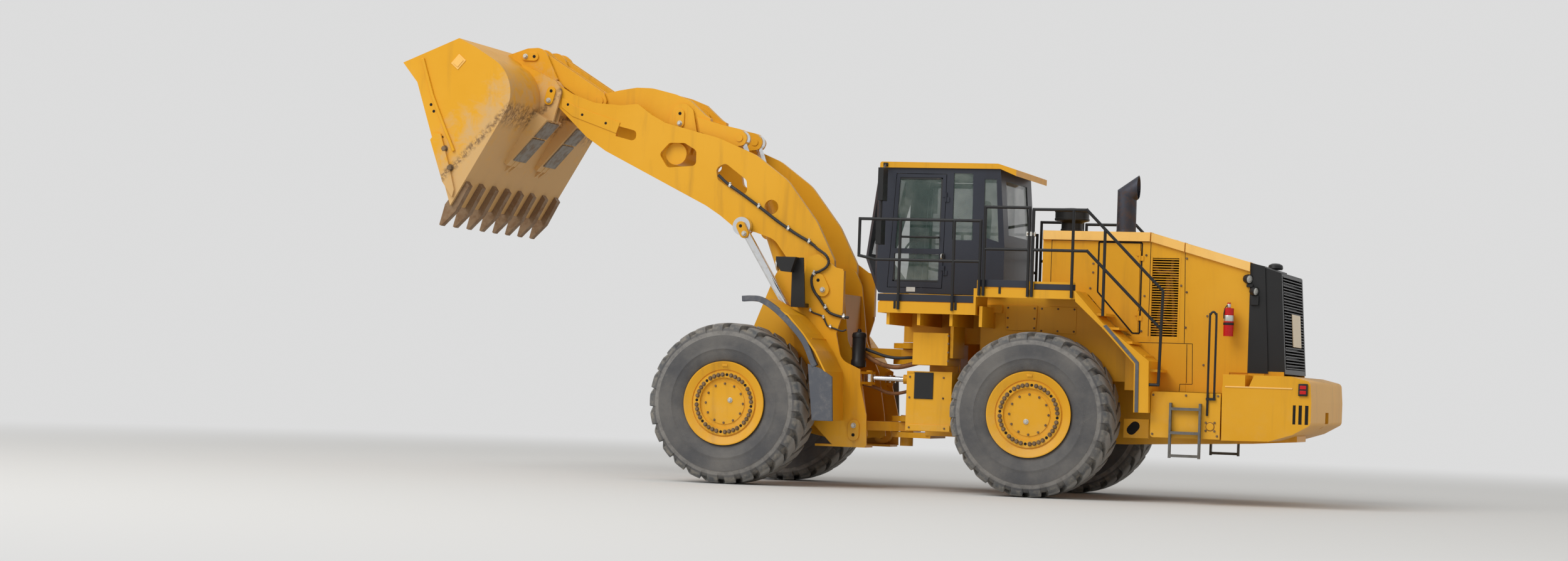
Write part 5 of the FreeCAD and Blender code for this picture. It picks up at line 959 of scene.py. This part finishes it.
for side in (-1, 1):
    headLens.add(*turnedForm([(0.082, -0.006), (0.084, 0.012), (0.074, 0.016), (0.072, 0.010), (0.045, 0.020), (0.012, 0.024)],
                             (-0.935, side * 1.060, 2.845), (-1, 0, 0), 32))
makePiece("headLens", headLens, plugSteel, "front_frame")
vessel = Shape().add(*turnedForm([(0.050, 1.545), (0.098, 1.560), (0.098, 1.640), (0.088, 1.655), (0.088, 1.935), (0.094, 1.940),
                                  (0.094, 1.975), (0.080, 2.000), (0.030, 2.012), (0.022, 2.050)], (0.035, -0.520, 0), (0, 0, 1), 36))
vessel.add(*boxForm(-0.010, 0.080, -0.470, -0.395, 1.700, 1.740)).add(*boxForm(-0.010, 0.080, -0.470, -0.395, 1.860, 1.900))
makePiece("pressureVessel", vessel, blackPaint, "front_frame")
trim("boomGuard", [(frontLook["guard"], 0.574, 0.592)], yellowPaint, body="boom", bevel=0.004)
# holes in the guard cover: dark discs of painted shade
discs("guardHoleShades", [(x, z, 0.590) for x, z in frontLook["guardHoleShades"]], 0.019, darkSeamAndHoleShade, "boom", rim=0.003)

# Bucket: raised blank plate, rib, bolts, and dark discs of painted shade for the holes on its sides

bucketSide = 1.700
trim("bucketPlate", [([(-5.346, 5.365), (-5.233, 5.489), (-5.133, 5.404), (-5.244, 5.280)], bucketSide - 0.002, bucketSide + 0.009),
                     ([(-5.312, 5.367), (-5.233, 5.455), (-5.166, 5.402), (-5.246, 5.313)], bucketSide + 0.006,
                      bucketSide + 0.018)], paleAndHighlightPaint, body="bucket", bevel=0.003)
trim("bucketRib", [(band([(-5.748, 5.428), (-5.590, 4.945), (-5.420, 4.560), (-5.252, 4.205)], 0.040), bucketSide - 0.002,
                    bucketSide + 0.030)], yellowPaint, body="bucket", bevel=0.008)
boltRow("bucketBolts", [(-5.389, 4.237, 1.702), (-5.297, 3.987, 1.702)], 0.074, boltSteel, "bucket")
discs("bucketHoleShades", [(-5.609, 4.817, 1.700), (-5.566, 4.730, 1.700), (-5.433, 4.388, 1.700)], 0.020, darkSeamAndHoleShade, "bucket", rim=0.002)
# wear pads on the heels under the bucket: spans along the heel's face
padLook = {"start": (-4.312, 4.710), "way": (-0.673, -0.739), "out": (0.739, -0.673), "thick": 0.020, "y": (0.335, 0.755),
           "spans": [(0.030, 0.300), (0.325, 0.730)]}
begin, way, out = (np.array(padLook[key]) for key in ("start", "way", "out"))
padRows = [([begin + way * a - out * 0.004, begin + way * b - out * 0.004, begin + way * b + out * padLook["thick"],
             begin + way * a + out * padLook["thick"]], *padLook["y"]) for a, b in padLook["spans"]]
wornPad = metalFinish("wornPad", tone(138, 132, 122), tone(120, 96, 70), 0.45, 0.6, 0.7)
trim("wearPads", padRows, wornPad, "bucket", bevel=0.005)
print("front dressed")


# Hoses across the steering joint: each hangs between the frames on one smooth NURBS line of order 3

crossing = {
    "pressureHose": ([(0.000, -0.420, 1.825), (0.083, -0.440, 1.801), (0.217, -0.450, 1.756), (0.373, -0.450, 1.705),
                      (0.550, -0.450, 1.684), (0.736, -0.430, 1.706), (0.850, -0.358, 1.700)], 0.020, blackRubber),
    "returnHose": ([(-0.045, -0.402, 1.778), (0.063, -0.400, 1.736), (0.221, -0.400, 1.638), (0.378, -0.400, 1.578),
                    (0.555, -0.400, 1.566), (0.740, -0.390, 1.619), (0.843, -0.348, 1.650)], 0.030, rustPipe),
    "lowHose": ([(0.085, -0.420, 1.336), (0.150, -0.350, 1.318), (0.233, -0.300, 1.295), (0.346, -0.300, 1.240),
                 (0.479, -0.300, 1.222), (0.632, -0.300, 1.255), (0.780, -0.300, 1.305), (0.915, -0.300, 1.322)], 0.022,
                rustPipe),
}


def hangingHose(name, points, radius, material):
    curve = bpy.data.curves.new(name + "Line", "CURVE")
    curve.dimensions, curve.resolution_u = "3D", 12
    spline = curve.splines.new("NURBS")
    spline.points.add(len(points) - 1)
    spline.points.foreach_set("co", np.column_stack([np.array(points), np.ones(len(points))]).ravel())
    spline.order_u = 3
    spline.use_endpoint_u = True
    carrier = bpy.data.objects.new(name + "Line", curve)
    line = bpy.data.meshes.new_from_object(carrier)
    path = np.empty(len(line.vertices) * 3)
    line.vertices.foreach_get("co", path)
    path = path.reshape(-1, 3)
    bpy.data.objects.remove(carrier)
    hose = makePiece(name, Shape().add(*tubeForm(path, radius, 14)), material,
                     ("front_frame", "rear_frame", (0.10, 0, 1.6), (0.70, 0, 1.6)))
    2 * radius


for name, (points, radius, material) in crossing.items():
    hangingHose(name, points, radius, material)
print("crossing hoses made")


# Stage

stageLook = {"floor": tone(214, 213, 210), "back": 0.72, "fill": 0.56, "keyPower": 9900.0, "keySize": 26.0,
             "keyPlace": (-14.0, -26.0, 30.0), "floorHalf": 400.0, "fadeFrom": (11.0, 30.0)}


def makeStage(look):
    half = look["floorHalf"]
    mesh = bpy.data.meshes.new("floor")
    mesh.from_pydata([(-half, -half, 0), (half, -half, 0), (half, half, 0), (-half, half, 0)], [], [(0, 1, 2, 3)])
    floor = bpy.data.objects.new("floor", mesh)
    scene.collection.objects.link(floor)
    f = Finish("paleFloor")
    # far from the machine the floor turns into the backdrop's own tone, so that no horizon shows
    glow = f.node("ShaderNodeEmission", {}, {"Color": (1, 1, 1, 1), "Strength": look["back"]})
    distance = f.node("ShaderNodeVectorMath", {"operation": "LENGTH"}, {0: f.place}, "Value")
    f.finished(look["floor"], 0.9)
    blend = f.node("ShaderNodeMixShader", {}, {"Fac": distance.over(*look["fadeFrom"]), 1: Wire(f, f.shader.outputs[0]), 2: glow})
    f.feed(f.tree.nodes["Material Output"].inputs["Surface"], blend)
    mesh.materials.append(f.material)
    world = bpy.data.worlds.new("studio")
    world.use_nodes = True
    scene.world = world
    tree = world.node_tree
    shade = tree.nodes["Background"]
    shade.inputs["Color"].default_value = (1, 1, 1, 1)
    rays = tree.nodes.new("ShaderNodeLightPath")
    # camera, mirror and glass rays all see the backdrop; the rest see the fill light
    last = rays.outputs["Is Camera Ray"]
    for kind in ("Is Glossy Ray", "Is Transmission Ray"):
        most = tree.nodes.new("ShaderNodeMath")
        most.operation = "MAXIMUM"
        tree.links.new(last, most.inputs[0])
        tree.links.new(rays.outputs[kind], most.inputs[1])
        last = most.outputs[0]
    strength = tree.nodes.new("ShaderNodeMix")
    strength.inputs["A"].default_value = look["fill"]
    strength.inputs["B"].default_value = look["back"]
    tree.links.new(last, strength.inputs["Factor"])
    tree.links.new(strength.outputs["Result"], shade.inputs["Strength"])
    lamp = bpy.data.lights.new("softKey", "AREA")
    lamp.energy = look["keyPower"]
    lamp.size = look["keySize"]
    key = bpy.data.objects.new("softKey", lamp)
    scene.collection.objects.link(key)
    key.location = look["keyPlace"]
    away = np.array(look["keyPlace"]) - np.array([0.0, 0.0, 2.0])
    flat = math.hypot(away[0], away[1])
    key.rotation_euler = (math.atan2(flat, away[2]), 0.0, math.atan2(away[1], away[0]) + math.pi / 2)


makeStage(stageLook)
print("stage set")
